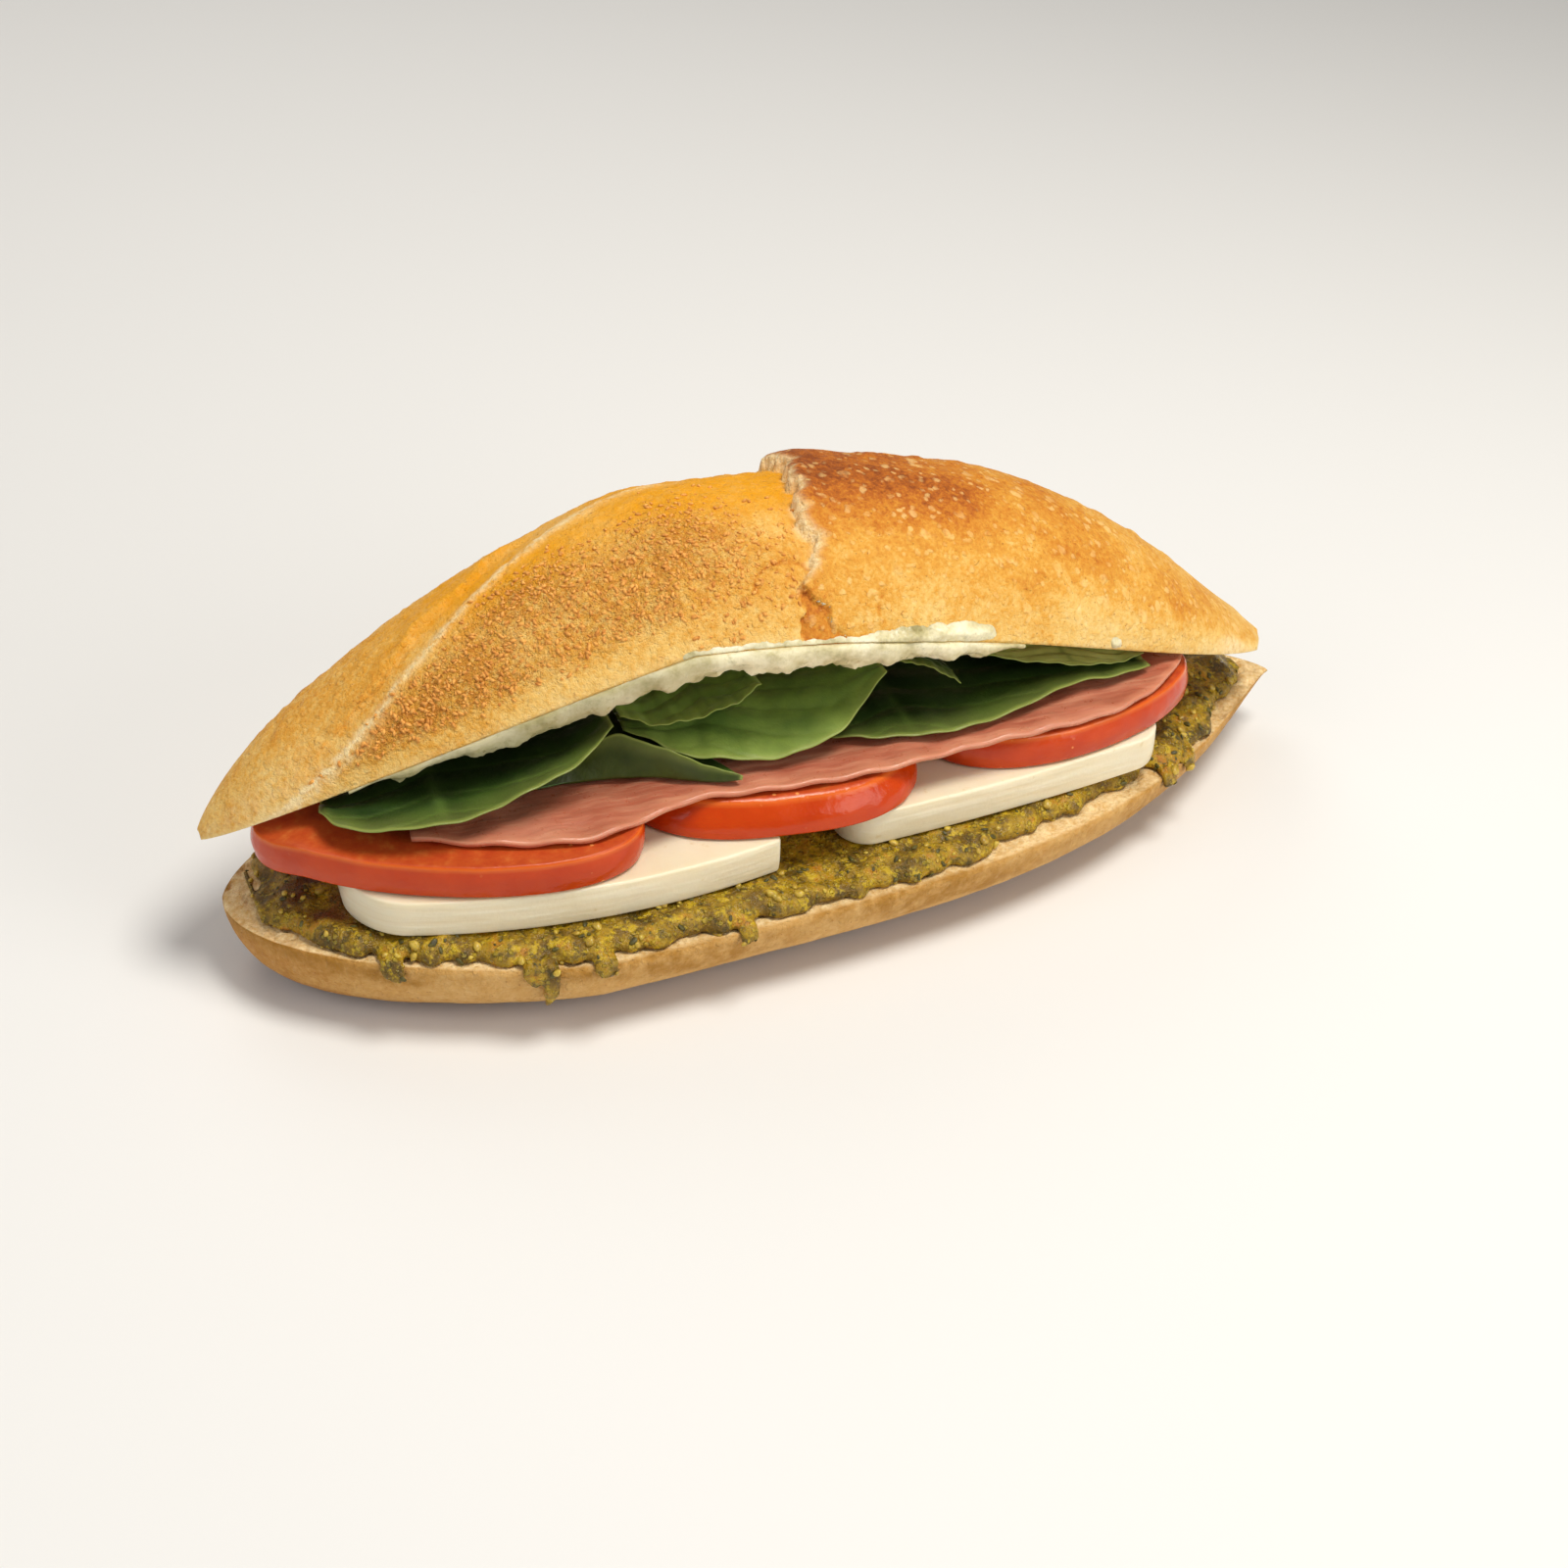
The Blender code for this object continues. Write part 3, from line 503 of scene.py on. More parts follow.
def heel_frame(x):
    """Front and rear rim, height of the cut face and thickness of the crust below it."""
    t = (x - HEEL_X0) / (HEEL_X1 - HEEL_X0)
    line = HEEL_LINE * t
    front = line - 51.8 * lobe(x, -58.3, HEEL_X0, HEEL_X1, 1.277, 0.464, 4.0, 1.229)
    rear = line + 38.0 * lobe(x, 0.0, HEEL_X0, HEEL_X1, 2.2, 0.7, 2.2, 0.7)
    full = lobe(x, 0.0, HEEL_X0, HEEL_X1, 14.0, 0.6, 2.43, 0.75)
    return front, rear, HEEL_TOP - 3.5 * (1.0 - full), HEEL_TOP * full


def heel_wall(x, drop):
    """Where the front crust stands, this far below the rim."""
    front, rear, _, thick = heel_frame(x)
    s = np.clip(drop / (1.03 * thick), 0.0, 1.0)
    curve = (1.0 - s ** HEEL_CURVE) ** (1.0 / HEEL_CURVE)
    return 0.5 * (front + rear) - 0.5 * (rear - front) * curve


print("heel rim at the middle", [round(float(v), 1) for v in heel_frame(0.0)])

# %% [markdown]
# ## Making the heel
# Crust and cut face are swept together as one ring, so they share their rim. The crust
# moves in and out a little, as a hand-shaped roll does, and is painted darker at its foot
# as shade where it meets the floor.


# %% Heel mesh
def heel_values(rings, z, face):
    """Paint values: painted shade at the foot, browner at the left end, pale crumb, sauce by the
    rim.
    """
    inside = np.concatenate([np.zeros_like(z), np.ones_like(face)], 1)
    low = np.concatenate([smooth(9.0, 0.5, z), np.zeros_like(face)], 1)
    x = rings[..., 0]
    # Browner at the left end; painted shade darkens the foot, where the crust meets the floor.
    bake = 0.30 + 0.26 * smooth(-96.0, -124.0, x) * (1 - inside) + 0.85 * low ** 1.2
    bake = bake + 0.12 * smooth(60.0, 120.0, x)
    reach = 12.5 - 4.0 * smooth(-70.0, -40.0, x) + 2.2 * noise(rings, 7.0, 21)
    near_rim = smooth(reach, reach + 3.0, rings[..., 2]) * (rings[..., 1] < 20.0)
    stain = near_rim * (0.85 - 0.45 * inside) * smooth(-0.9, 0.1, noise(rings, 11.0, 22))
    values = {"bake": bake, "crumb": inside * 0.95, "stain": stain, "flour": 0.10 * low,
              "bran": 0 * bake, "yellow": 0 * bake, "blister": 0.25 * (1 - inside)}
    return {key: tube_values(value) for key, value in values.items()}


def build_heel():
    x = stations(HEEL_X0 + 0.25, HEEL_X1 - 0.25, 300)[:, None]
    front, rear, top, thick = heel_frame(x)
    a = np.linspace(0.0, math.pi, 70)[None, :]
    c = np.cos(a)
    power = 2.0 / HEEL_CURVE
    y = 0.5 * (front + rear) - 0.5 * (rear - front) * np.sign(c) * np.abs(c) ** power
    z = np.maximum(top - 1.03 * thick * np.abs(np.sin(a)) ** power, 0.0)
    crust = np.stack([x + 0 * y, y, z], -1)
    out = np.stack([0 * z, -np.sign(c) * np.abs(c) ** 0.6 + 0 * z, -np.sin(a) + 0 * z], -1)
    bump = 0.30 * fractal(crust, 14.0, 3) + 0.12 * fractal(crust, 3.0, 5)
    free = smooth(0.0, 2.0, z) * np.sin(a) ** 0.3
    crust = crust - out * (0.35 - bump)[..., None] * free[..., None] * 0.5
    u = np.linspace(0.0, 1.0, 62)[1:-1][None, :]
    face_y = rear + (front - rear) * u
    face = np.stack([x + 0 * face_y, face_y, top + 0 * face_y], -1)
    pits = np.minimum(0.0, fractal(face, 3.2, 8) - 0.1) * 0.9
    face[..., 2] += pits * smooth(0.0, 0.04, u) * smooth(1.0, 0.96, u)
    rings = np.concatenate([crust, face], 1)
    return piece("heel", *tube(rings), HEEL_PAINT, heel_values(rings, z, face_y))


settle(build_heel(), "bread_bottom")

# %% [markdown]
# ## The crown
# The top half is tipped open towards the viewer. Its section is half an oval raised
# over a slanting chord, and the chord's ends run along the roll as front and rear rim.
# A sphere could be scaled to this, but then the rims couldn't follow their own curves.
# The proud plate right of the crack is part of the section, so outlines change too.


# %% Crown section
CROWN_X0, CROWN_X1 = -131.0, 128.0
CROWN_END = 123.7  # the right tip is rounded off here
TIP = 5.0


def crown_end(x):
    return np.sqrt(np.clip((CROWN_END - x) / TIP, 0.0, 1.0))


def crown_edges(x):
    """Front rim y and z, then rear rim y and z."""
    t = (x - CROWN_X0) / (CROWN_X1 - CROWN_X0)
    line_y = 1.0 + 10.0 * t
    line_z = 30.78 - 3.76 * t
    side = lobe(x, -5.0, CROWN_X0, CROWN_X1, 2.0, 0.6, 2.2, 0.7) * crown_end(x)
    arch = lobe(x, -34.2, CROWN_X0, CROWN_X1, 1.139, 0.81, 1.921, 1.252)
    rear = lobe(x, 0.0, CROWN_X0, CROWN_X1, 2.2, 0.7, 2.2, 0.7) * crown_end(x)
    lift = lobe(x, 0.0, CROWN_X0, CROWN_X1, 4.0, 0.8, 4.0, 0.8)
    return line_y - 29.0 * side, line_z + 41.83 * arch, line_y + 36.0 * rear, line_z + 14.0 * lift


def crown_dome(x):
    return 31.0 * lobe(x, -27.16, CROWN_X0, CROWN_X1, 1.677, 0.749, 3.785, 1.764) * crown_end(x)


def crack_line(a):
    """Where the crack crosses the roll, for each angle over the section."""
    jag = 1.0 * np.sin(13.0 * a) + 0.7 * np.sin(29.0 * a + 1.0) + 0.35 * np.sin(67.0 * a)
    rise = 7.8 * smooth(0.0, 0.75, a) + 5.5 * smooth(0.9, 1.55, a) + 0.6 * smooth(1.5, 1.9, a)
    return -12.4 + rise + jag


def crown_surface(x, a):
    """Crust points for stations x and angles a, the way out, and the crack's two sides."""
    fy, fz, by, bz = crown_edges(x)
    plate = 3.5 * lobe(x, 0.0, CROWN_X0, CROWN_X1, 2.0, 0.5, 2.0, 0.5) * crown_end(x)
    past = x - crack_line(a)
    raised = smooth(-0.35, 0.35, past)
    h = crown_dome(x) + plate * raised
    dy = 0.5 * (fy - by)
    dz = 0.5 * (fz - bz)
    size = np.maximum(np.hypot(dy, dz), 0.001)
    oy = dy * np.cos(a) + dz / size * h * np.sin(a)
    oz = dz * np.cos(a) - dy / size * h * np.sin(a)
    pts = np.stack([x + 0 * oy, 0.5 * (fy + by) + oy, 0.5 * (fz + bz) + oz], -1)
    long = np.maximum(np.hypot(oy, oz), 0.001)
    return pts, np.stack([0 * oy, oy / long, oz / long], -1), past, raised


print("crack from", crack_line(0.0).round(1), "to", crack_line(math.pi).round(1))

# %% [markdown]
# ## Score, crack and crust relief
# The crust carries most of the roll's character: the baker's score runs up the left
# shoulder with a torn lip behind it, and the crust right of the crack broke off with
# a jagged rim, a notch, a hairline and a lifted flake. Sculpting would give this by
# hand once; height worked out from distances to these lines can be moved and reread.


# %% Crown relief
CRUST_PER_RAD = 27.0  # mm of crust for each radian around the section


def score_line(x):
    return 1.54 * (1.0 - np.clip((-25.0 - x) / 94.0, 0.0, 1.0) ** 2)


def crown_relief(x, a, pts, past, raised):
    """Height to add along the way out, and masks for the paint. off is the distance
    behind the score, past the distance to the right of the crack, both in mm."""
    small = np.clip(crown_dome(x) / 12.0, 0.0, 1.0) ** 2
    edge = np.sqrt(np.clip(np.sin(a), 0.0, 1.0))
    left = 1.0 - raised
    flakes = fractal(pts, 2.4, 51)

    # The score: a floury seam, a smooth band behind it, then the torn lip and the fall.
    off = (a - score_line(x)) * CRUST_PER_RAD
    wobble = 0.7 * noise(pts, 6.0, 31)
    run = smooth(-127.0, -112.0, x) * smooth(-18.0, -34.0, x)
    seam = bell(off + wobble, 0.0, 1.3) * run
    band = smooth(0.6, 2.2, off + wobble) * smooth(9.5, 6.5, off + 1.6 * wobble)
    band = band * smooth(-118.0, -100.0, x) * smooth(-38.0, -56.0, x)
    lip_at = 7.5 + 2.2 * noise(pts, 6.0, 33) + 1.2 * noise(pts, 2.0, 35)
    lip = smooth(lip_at - 0.4, lip_at + 0.3, off) * np.exp(-np.maximum(off - lip_at, 0) / 5.0)
    lip = lip * smooth(-112.0, -98.0, x) * smooth(-52.0, -66.0, x)
    fall = smooth(0.5, 8.0, off) * smooth(-118.0, -98.0, x) * smooth(-38.0, -60.0, x)
    h = 0.4 * seam * smooth(0.6, -0.6, off + wobble) - 0.5 * band + 1.6 * lip - 1.2 * fall

    # The crack: torn rim, notch at its foot, curled plate edge, hairline and flake.
    torn = bell(past, 0.35, 1.0 + 0.5 * bell(a, 0.75, 0.35))
    edge_line = 10.5 - 26.0 * a + 1.2 * noise(pts, 2.6, 37) + 0.6 * noise(pts, 1.0, 38)
    notch = smooth(-0.3, 0.3, past) * smooth(0.40, 0.30, a)
    notch = notch * smooth(edge_line + 0.3, edge_line - 0.3, past)
    curl = bell(past, 2.2, 2.6) * smooth(-0.2, 0.4, past) * smooth(1.5, 1.2, a)
    thin = x - (7.6 + 0.9 * np.sin(24.0 * a) + 0.4 * noise(pts, 1.5, 39))
    hair = bell(thin, 0.0, 0.35) * smooth(0.36, 0.30, a)
    arc = np.hypot(x + 12.5, (a - 0.33) * 30.0) + 0.9 * noise(pts, 3.0, 40)
    flake = bell(arc, 7.2, 0.4) * smooth(0.28, 0.40, a) * left
    h = h - 0.8 * torn * (0.8 + 0.5 * flakes) + 0.9 * curl
    h = h - notch * (2.4 + 0.8 * flakes) - 0.9 * hair - 0.5 * flake

    # The baked skin: a ridge and flaps over the top, dough waves, blisters and grain.
    ridge = bell(a, 1.78, 0.20) * smooth(-2.0, 8.0, x) * smooth(72.0, 40.0, x)
    ridge = ridge * (0.75 + 0.5 * noise(pts, 9.0, 43))
    flaps = bell(a, 1.95, 0.08) * smooth(20.0, 30.0, x) * smooth(68.0, 50.0, x)
    blister = np.maximum(0.0, noise(pts, 3.4, 45) - 0.25) * (0.25 + 0.75 * raised)
    h = h + 1.2 * ridge + 0.7 * flaps + 0.65 * fractal(pts, 34.0, 41, 2) + 0.8 * blister
    h = h + 0.12 * fractal(pts, 2.2, 47) + 0.22 * fractal(pts, 1.5, 49) * left
    masks = {"seam": seam, "band": band, "lip": lip, "torn": torn, "notch": notch,
             "hair": hair, "off": off, "run": run, "flake": flake}
    return h * edge * small, masks


print("score starts", round(float(score_line(-119.0)), 2), "rad above the front rim")

# %% [markdown]
# ## Where the crown is brown, floury or rough
# Heat browned the proud plate most, flour stayed along the score and the left tip,
# and bran lies in front of the score. Painting by hand on the mesh is the usual way;
# here the same masks that made the relief place the colours, so the two always agree.


# %% Crown paint values
BRAN_FROM, BRAN_FULL = 0.14, 0.40


def crown_values(x, a, pts, raised, v):
    left = 1.0 - raised
    off = v["off"]
    patch = noise(pts, 16.0, 61)
    small = noise(pts, 6.0, 62)
    bran = smooth(BRAN_FROM, BRAN_FULL, a) * smooth(2.0, -9.0, off + 0.3 * (x + 70.0) * (x > -70.0))
    bran = np.where(x > -36.0, bell(a, 0.72, 0.42), bran) * smooth(-122.0, -100.0, x)
    bran = left * bran * smooth(-2.0, -30.0, x) * np.clip(0.8 + 0.5 * patch, 0.1, 1.2)
    top = left * smooth(0.75, 1.2, a) * smooth(-105.0, -70.0, x)
    bake = 0.46 - 0.16 * left * smooth(0.40, 0.05, a) + 0.02 * left * bran
    ridge = smooth(0.55, 1.15, a) * smooth(2.15, 1.75, a)
    bake = bake + raised * (0.08 + 0.36 * ridge * smooth(80.0, 10.0, x))
    bake = bake - 0.26 * raised * smooth(0.75, 0.1, a) * smooth(-12.0, 20.0, x)
    bake = bake - 0.14 * smooth(84.0, 122.0, x) + 0.20 * v["notch"] + 0.25 * v["hair"]
    bake = bake + 0.05 * v["lip"] - 0.06 * v["band"] + 0.09 * patch + 0.05 * small
    bake = bake + 0.22 * v["flake"]
    bake = bake + 0.12 * smooth(1.9, 2.6, a) * left
    flour = 0.95 * v["seam"] + 0.36 * smooth(-100.0, -118.0, x) * smooth(1.3, 0.5, a)
    flour = flour + 0.75 * bell(off, -2.0, 3.5) * v["run"] * smooth(-88.0, -106.0, x)
    flour = flour + 0.30 * smooth(0.12, 0.0, a) * left
    crumb = v["torn"] * smooth(-1.0, -0.2, noise(pts, 3.0, 66)) * smooth(0.30, 0.5, a)
    crumb = crumb + 0.8 * bell(x, 108.0, 5.5) * smooth(0.50, 0.25, a + 0.12 * small)
    crumb = crumb + 0.6 * v["seam"] * smooth(-0.2, 0.6, noise(pts, 2.0, 65))
    yellow = top * np.clip(1.1 + 0.5 * patch, 0, 1) * smooth(2.3, 1.6, a)
    blister = 0.15 + 0.85 * raised * np.clip(0.8 + 0.4 * small, 0, 1)
    blister = blister + 0.4 * left * smooth(1.8, 2.3, a)
    return {"bake": bake, "bran": bran, "flour": flour, "crumb": np.clip(crumb, 0, 1),
            "blister": blister, "stain": 0 * bake, "yellow": yellow}


print("bran lies from", BRAN_FROM, "to", BRAN_FULL, "rad above the front rim and up")

# %% [markdown]
# ## Making the crown
# The underside is a shallow dish that hangs over the filling. Crust and underside are
# swept together as one ring from tip to tip, with extra stations beside the crack,
# where its steep rim would otherwise look stepped.


# %% Crown mesh
def crown_under(x, y):
    """Height of the underside, between the two rims."""
    fy, fz, by, bz = crown_edges(x)
    u = np.clip((y - fy) / np.maximum(by - fy, 0.1), 0.0, 1.0)
    dish = np.minimum(2.5, 0.12 * np.maximum(by - fy, 0.0))
    dish = np.minimum(dish, 0.3 * crown_dome(x))
    return fz + (bz - fz) * u + dish * np.sin(math.pi * u)


def build_crown():
    x = stations(CROWN_X0 + 0.8, CROWN_END - 0.05, 380)
    x = np.sort(np.concatenate([x, np.linspace(-17.0, 4.0, 50)]))[:, None]
    a = np.linspace(0.0, math.pi, 150)[None, :]
    pts, out, past, raised = crown_surface(x, a)
    h, v = crown_relief(x, a, pts, past, raised)
    vals = crown_values(x, a, pts, raised, v)
    pts = pts + out * h[..., None]
    fy, _, by, _ = crown_edges(x)
    u = np.linspace(0.0, 1.0, 50)[1:-1][None, :]
    y = by + (fy - by) * u
    under = np.stack([x + 0 * y, y, crown_under(x, y)], -1)
    pits = np.abs(np.minimum(0.0, fractal(under, 3.0, 71) - 0.1))
    under[..., 2] += pits * 0.9 * smooth(0.0, 0.05, u) * smooth(1.0, 0.95, u)
    flat = {}
    for key, crust in vals.items():
        flat[key] = tube_values(crust, np.full(under.shape[:2], 0.95 * (key == "crumb")))
    return piece("crown", *tube(np.concatenate([pts, under], 1)), CROWN_PAINT, flat)


CROWN = settle(build_crown(), "bread_top")

# %% [markdown]
# ## Scattering with Geometry Nodes
# Bran flakes, herb bits and nut lumps all repeat over a surface. Placing hundreds by
# hand is slow and a particle system can't be baked to mesh here, so one small node
# tree makes them: points spread over the faces by a density value, a grain stood on
# each, turned to the surface, sized at random, then made real mesh.


# %% Scatter tree
def scatter_tree():
    tree = bpy.data.node_groups.new("scatter_grains", "GeometryNodeTree")
    face = tree.interface
    face.new_socket("Geometry", in_out="INPUT", socket_type="NodeSocketGeometry")
    names = {}
    for label, kind, start in (("Density", "Float", 1000.0), ("Smallest", "Float", 0.6),
                               ("Largest", "Float", 1.4), ("Seed", "Int", 1),
                               ("Grain", "Object", None), ("Material", "Material", None),
                               ("Where", "String", "bran")):
        made = face.new_socket(label, in_out="INPUT", socket_type="NodeSocket" + kind)
        if start is not None:
            made.default_value = start
        names[label] = made.identifier
    face.new_socket("Geometry", in_out="OUTPUT", socket_type="NodeSocketGeometry")

    def new(kind, **options):
        made = tree.nodes.new(kind)
        for key, value in options.items():
            setattr(made, key, value)
        return made

    given = new("NodeGroupInput")
    where = new("GeometryNodeInputNamedAttribute", data_type="FLOAT")
    dense = new("ShaderNodeMath", operation="MULTIPLY")
    spread = new("GeometryNodeDistributePointsOnFaces")
    info = new("GeometryNodeObjectInfo")
    size = new("FunctionNodeRandomValue", data_type="FLOAT")
    spin = new("FunctionNodeRandomValue", data_type="FLOAT_VECTOR")
    spin.inputs[0].default_value = (-0.35, -0.35, -3.14)
    spin.inputs[1].default_value = (0.35, 0.35, 3.14)
    euler = new("FunctionNodeEulerToRotation")
    turn = new("FunctionNodeRotateRotation", rotation_space="LOCAL")
    stand = new("GeometryNodeInstanceOnPoints")
    real = new("GeometryNodeRealizeInstances")
    paint = new("GeometryNodeSetMaterial")
    for source, out, target, into in (
            (given, "Where", where, "Name"), (given, "Density", dense, 0),
            (where, "Attribute", dense, 1), (given, "Geometry", spread, "Mesh"),
            (dense, 0, spread, "Density"), (given, "Seed", spread, "Seed"),
            (given, "Grain", info, "Object"), (given, "Smallest", size, 2),
            (given, "Largest", size, 3), (spin, 0, euler, 0),
            (spread, "Rotation", turn, 0), (euler, 0, turn, 1),
            (spread, "Points", stand, "Points"), (info, "Geometry", stand, "Instance"),
            (turn, 0, stand, "Rotation"), (size, 1, stand, "Scale"),
            (stand, "Instances", real, "Geometry"), (real, "Geometry", paint, "Geometry"),
            (given, "Material", paint, "Material"),
            (paint, "Geometry", new("NodeGroupOutput"), "Geometry")):
        tree.links.new(source.outputs[out], target.inputs[into])
    return tree, names


SCATTER, SOCKET = scatter_tree()
print("scatter inputs", sorted(SOCKET))

# %% [markdown]
# ## A grain and the scatter call
# Each kind of bit is one uneven lump of a few dozen faces, an icosphere squashed to
# size. The call runs the tree on a copy of the surface, keeps the resulting mesh and
# throws the copy away, so nothing live is left in the scene.


# %% Grain and scatter
def grain(name, size, seed, rounds=2):
    """A small uneven lump, size (x, y, z) in mm, standing a little into its base."""
    bm = bmesh.new()
    bmesh.ops.create_icosphere(bm, subdivisions=rounds, radius=0.5)
    for v in bm.verts:
        p = np.array(v.co)
        w = 1.0 + 0.28 * float(noise(p * 3.0, 1.0, seed))
        v.co = Vector((p[0] * size[0] * w, p[1] * size[1] * w, (p[2] + 0.2) * size[2] * w)) * MM
    mesh = bpy.data.meshes.new(name)
    bm.to_mesh(mesh)
    bm.free()
    mesh.polygons.foreach_set("use_smooth", [True] * len(mesh.polygons))
    return bpy.data.objects.new(name, mesh)


def evaluated_mesh(obj):
    bpy.context.view_layer.update()
    graph = bpy.context.evaluated_depsgraph_get()
    return bpy.data.meshes.new_from_object(obj.evaluated_get(graph))


def scatter(name, surface, grain_obj, where, density, smallest, largest, seed, paint, slot):
    """Density is in grains for each square centimetre where the value is 1."""
    carrier = bpy.data.objects.new(name, surface.data.copy())
    for obj in (carrier, grain_obj):
        SCENE.collection.objects.link(obj)
    mod = carrier.modifiers.new("scatter", "NODES")
    mod.node_group = SCATTER
    settings = {"Density": density * 1e4, "Smallest": smallest, "Largest": largest,
                "Seed": seed, "Grain": grain_obj, "Material": paint, "Where": where}
    for label, value in settings.items():
        mod[SOCKET[label]] = value
    mesh = evaluated_mesh(carrier)
    for obj in (carrier, grain_obj):
        bpy.data.objects.remove(obj, do_unlink=True)
    mesh.name = name
    obj = bpy.data.objects.new(name, mesh)
    SCENE.collection.objects.link(obj)
    if not mesh.materials:
        mesh.materials.append(paint)
    return settle(obj)


# %% [markdown]
# ## Bran on the crust
# The left shoulder was rolled in bran before baking: hundreds of thin brown flakes,
# densest in front of the score and thinning out towards the crack. Specks in the
# crust's colour alone would look flat from the side, so real flakes stand on it.


# %% Bran flakes
def plain_paint(name, light, dark, mm, rough=0.6, subsurface=0.0):
    p = Paint(name, rough, subsurface)
    color = p.ramp(p.noise(mm, 3.0, 0.6), [(0.35, dark), (0.62, light)])
    return p.done(color, None, [(p.noise(mm * 0.5), 0.08)])


BRAN = plain_paint("bran_flakes", tone(238, 174, 84), tone(200, 126, 48), 1.6, 0.8)
scatter("bran_flakes", CROWN, grain("bran_grain", (1.35, 0.75, 0.5), 3, 1), "bran",
        90.0, 0.35, 1.2, 7, BRAN, "crust_crown")

# %% [markdown]
# ## Pesto
# The sauce is a coarse, oily green spread of basil, oil and nuts. Its colour is never
# even: dark leaf, yellow-green oil and paler pulp lie side by side. A few clouds of
# different size are laid over each other for that, under a wet, broken gloss.


# %% Pesto material
def pesto_paint():
    p = Paint("pesto", 0.3, 0.1, (0.6, 0.6, 0.1), 1.0, 0.4)
    mid = p.noise(2.0, 4.0, 0.7)
    color = p.ramp(p.noise(7.0, 4.0, 0.65), [
        (0.30, tone(76, 58, 10)), (0.44, tone(122, 92, 16)),
        (0.56, tone(168, 134, 24)), (0.70, tone(182, 116, 28))])
    color = p.coat(color, tone(66, 58, 18), p.band(mid, 0.48, 0.38), 0.7)
    color = p.coat(color, tone(206, 174, 34), p.band(p.noise(2.4, 3.0, 0.7), 0.54, 0.64), 0.75)
    pulp = p.band(p.cells(1.7, 0.8), 0.36, 0.22)
    color = p.coat(color, tone(208, 186, 66), pulp, 0.3)
    color = p.coat(color, tone(96, 34, 14), p.value("sauce"))
    rough = p.band(p.noise(1.7, 3.0), 0.3, 0.7, 0.14, 0.46)
    return p.done(color, rough, [(mid, 0.8), (pulp, 0.3), (p.noise(0.8, 3.0, 0.7), 0.3)])


PESTO_PAINT = pesto_paint()

# %% [markdown]
# ## The sauce's blanket
# The sauce covers the cut face and bulges out in front of the cheese. A fluid would
# be hard to steer; a blanket whose height rises softly from its rim gives the same
# bulge and lets the cheese lie flat on the part behind it.

# %% Pesto blanket
PESTO_X0, PESTO_X1 = -121.5, 124.5
CHEESE_SEAT = 21.75  # height of the sauce below the cheese


def pesto_inset(x):
    bare = 2.0 + 3.0 * smooth(-108.0, -122.0, x) + 3.0 * smooth(20.0, 45.0, x)
    bare = bare - 3.4 * smooth(76.0, 86.0, x) * smooth(112.0, 98.0, x)
    return np.maximum(0.5, bare + 0.9 * np.sin(0.42 * x) + 0.5 * np.sin(0.97 * x + 1.0))


def pesto_grid():
    x = stations(PESTO_X0, PESTO_X1, 420)[:, None]
    front, rear, top, _ = heel_frame(x)
    y0 = front + pesto_inset(x) + 0.5 * noise(np.stack([x, 0 * x, 0 * x], -1), 3.0, 81)
    u = np.linspace(0.0, 1.0, 90)[None, :] ** 2.0
    y = y0 + (rear - 2.5 - y0) * u
    end = np.clip(np.minimum((x - PESTO_X0) / 6.0, (PESTO_X1 - x) / 6.0), 0.25, 1.0)
    low = top + 0.3
    near = np.clip((y - y0) / 4.2, 0.0, 1.0)
    rise = 0.18 + 0.82 * np.sqrt(near * (2.0 - near))
    spot = np.stack([x + 0 * y, y, 0 * y], -1)
    lump = 1.2 * fractal(spot, 5.5, 83) + 0.6 * np.maximum(0, noise(spot, 2.2, 85)) - 0.2
    open_part = np.exp(-(y - y0) / 16.0) * near
    outside = np.clip(smooth(-102.0, -108.0, x) + smooth(82.0, 88.0, x), 0, 1)
    open_part = np.maximum(open_part, outside * near)
    tall = low + np.maximum(0.4, 3.4 * end * rise + lump * open_part)
    under_cheese = (x > -106.0) & (x < 81.0) & (y > y0 + 4.0)
    tall = np.where(under_cheese, np.minimum(tall, CHEESE_SEAT), tall)
    return np.stack([x + 0 * y, y, low + 0 * y], -1), np.stack([x + 0 * y, y, tall], -1)


print("sauce stands back", pesto_inset(np.array([-120.0, 0.0, 90.0])).round(1), "mm")

# %% [markdown]
# ## Drips over the rim
# Seven tongues of sauce run over the rim and down the crust, thicker at their foot.
# Each is a small blanket of its own that follows the heel's wall.

# %% Drips
DRIPS = [  # place along the roll, half width, drop
    (-100.2, 2.4, 2.8), (-74.6, 2.1, 2.8), (-71.4, 1.8, 9.2), (-60.6, 2.5, 1.3),
    (-29.4, 2.0, 1.4), (84.0, 3.0, 1.8), (91.5, 2.3, 1.2)]


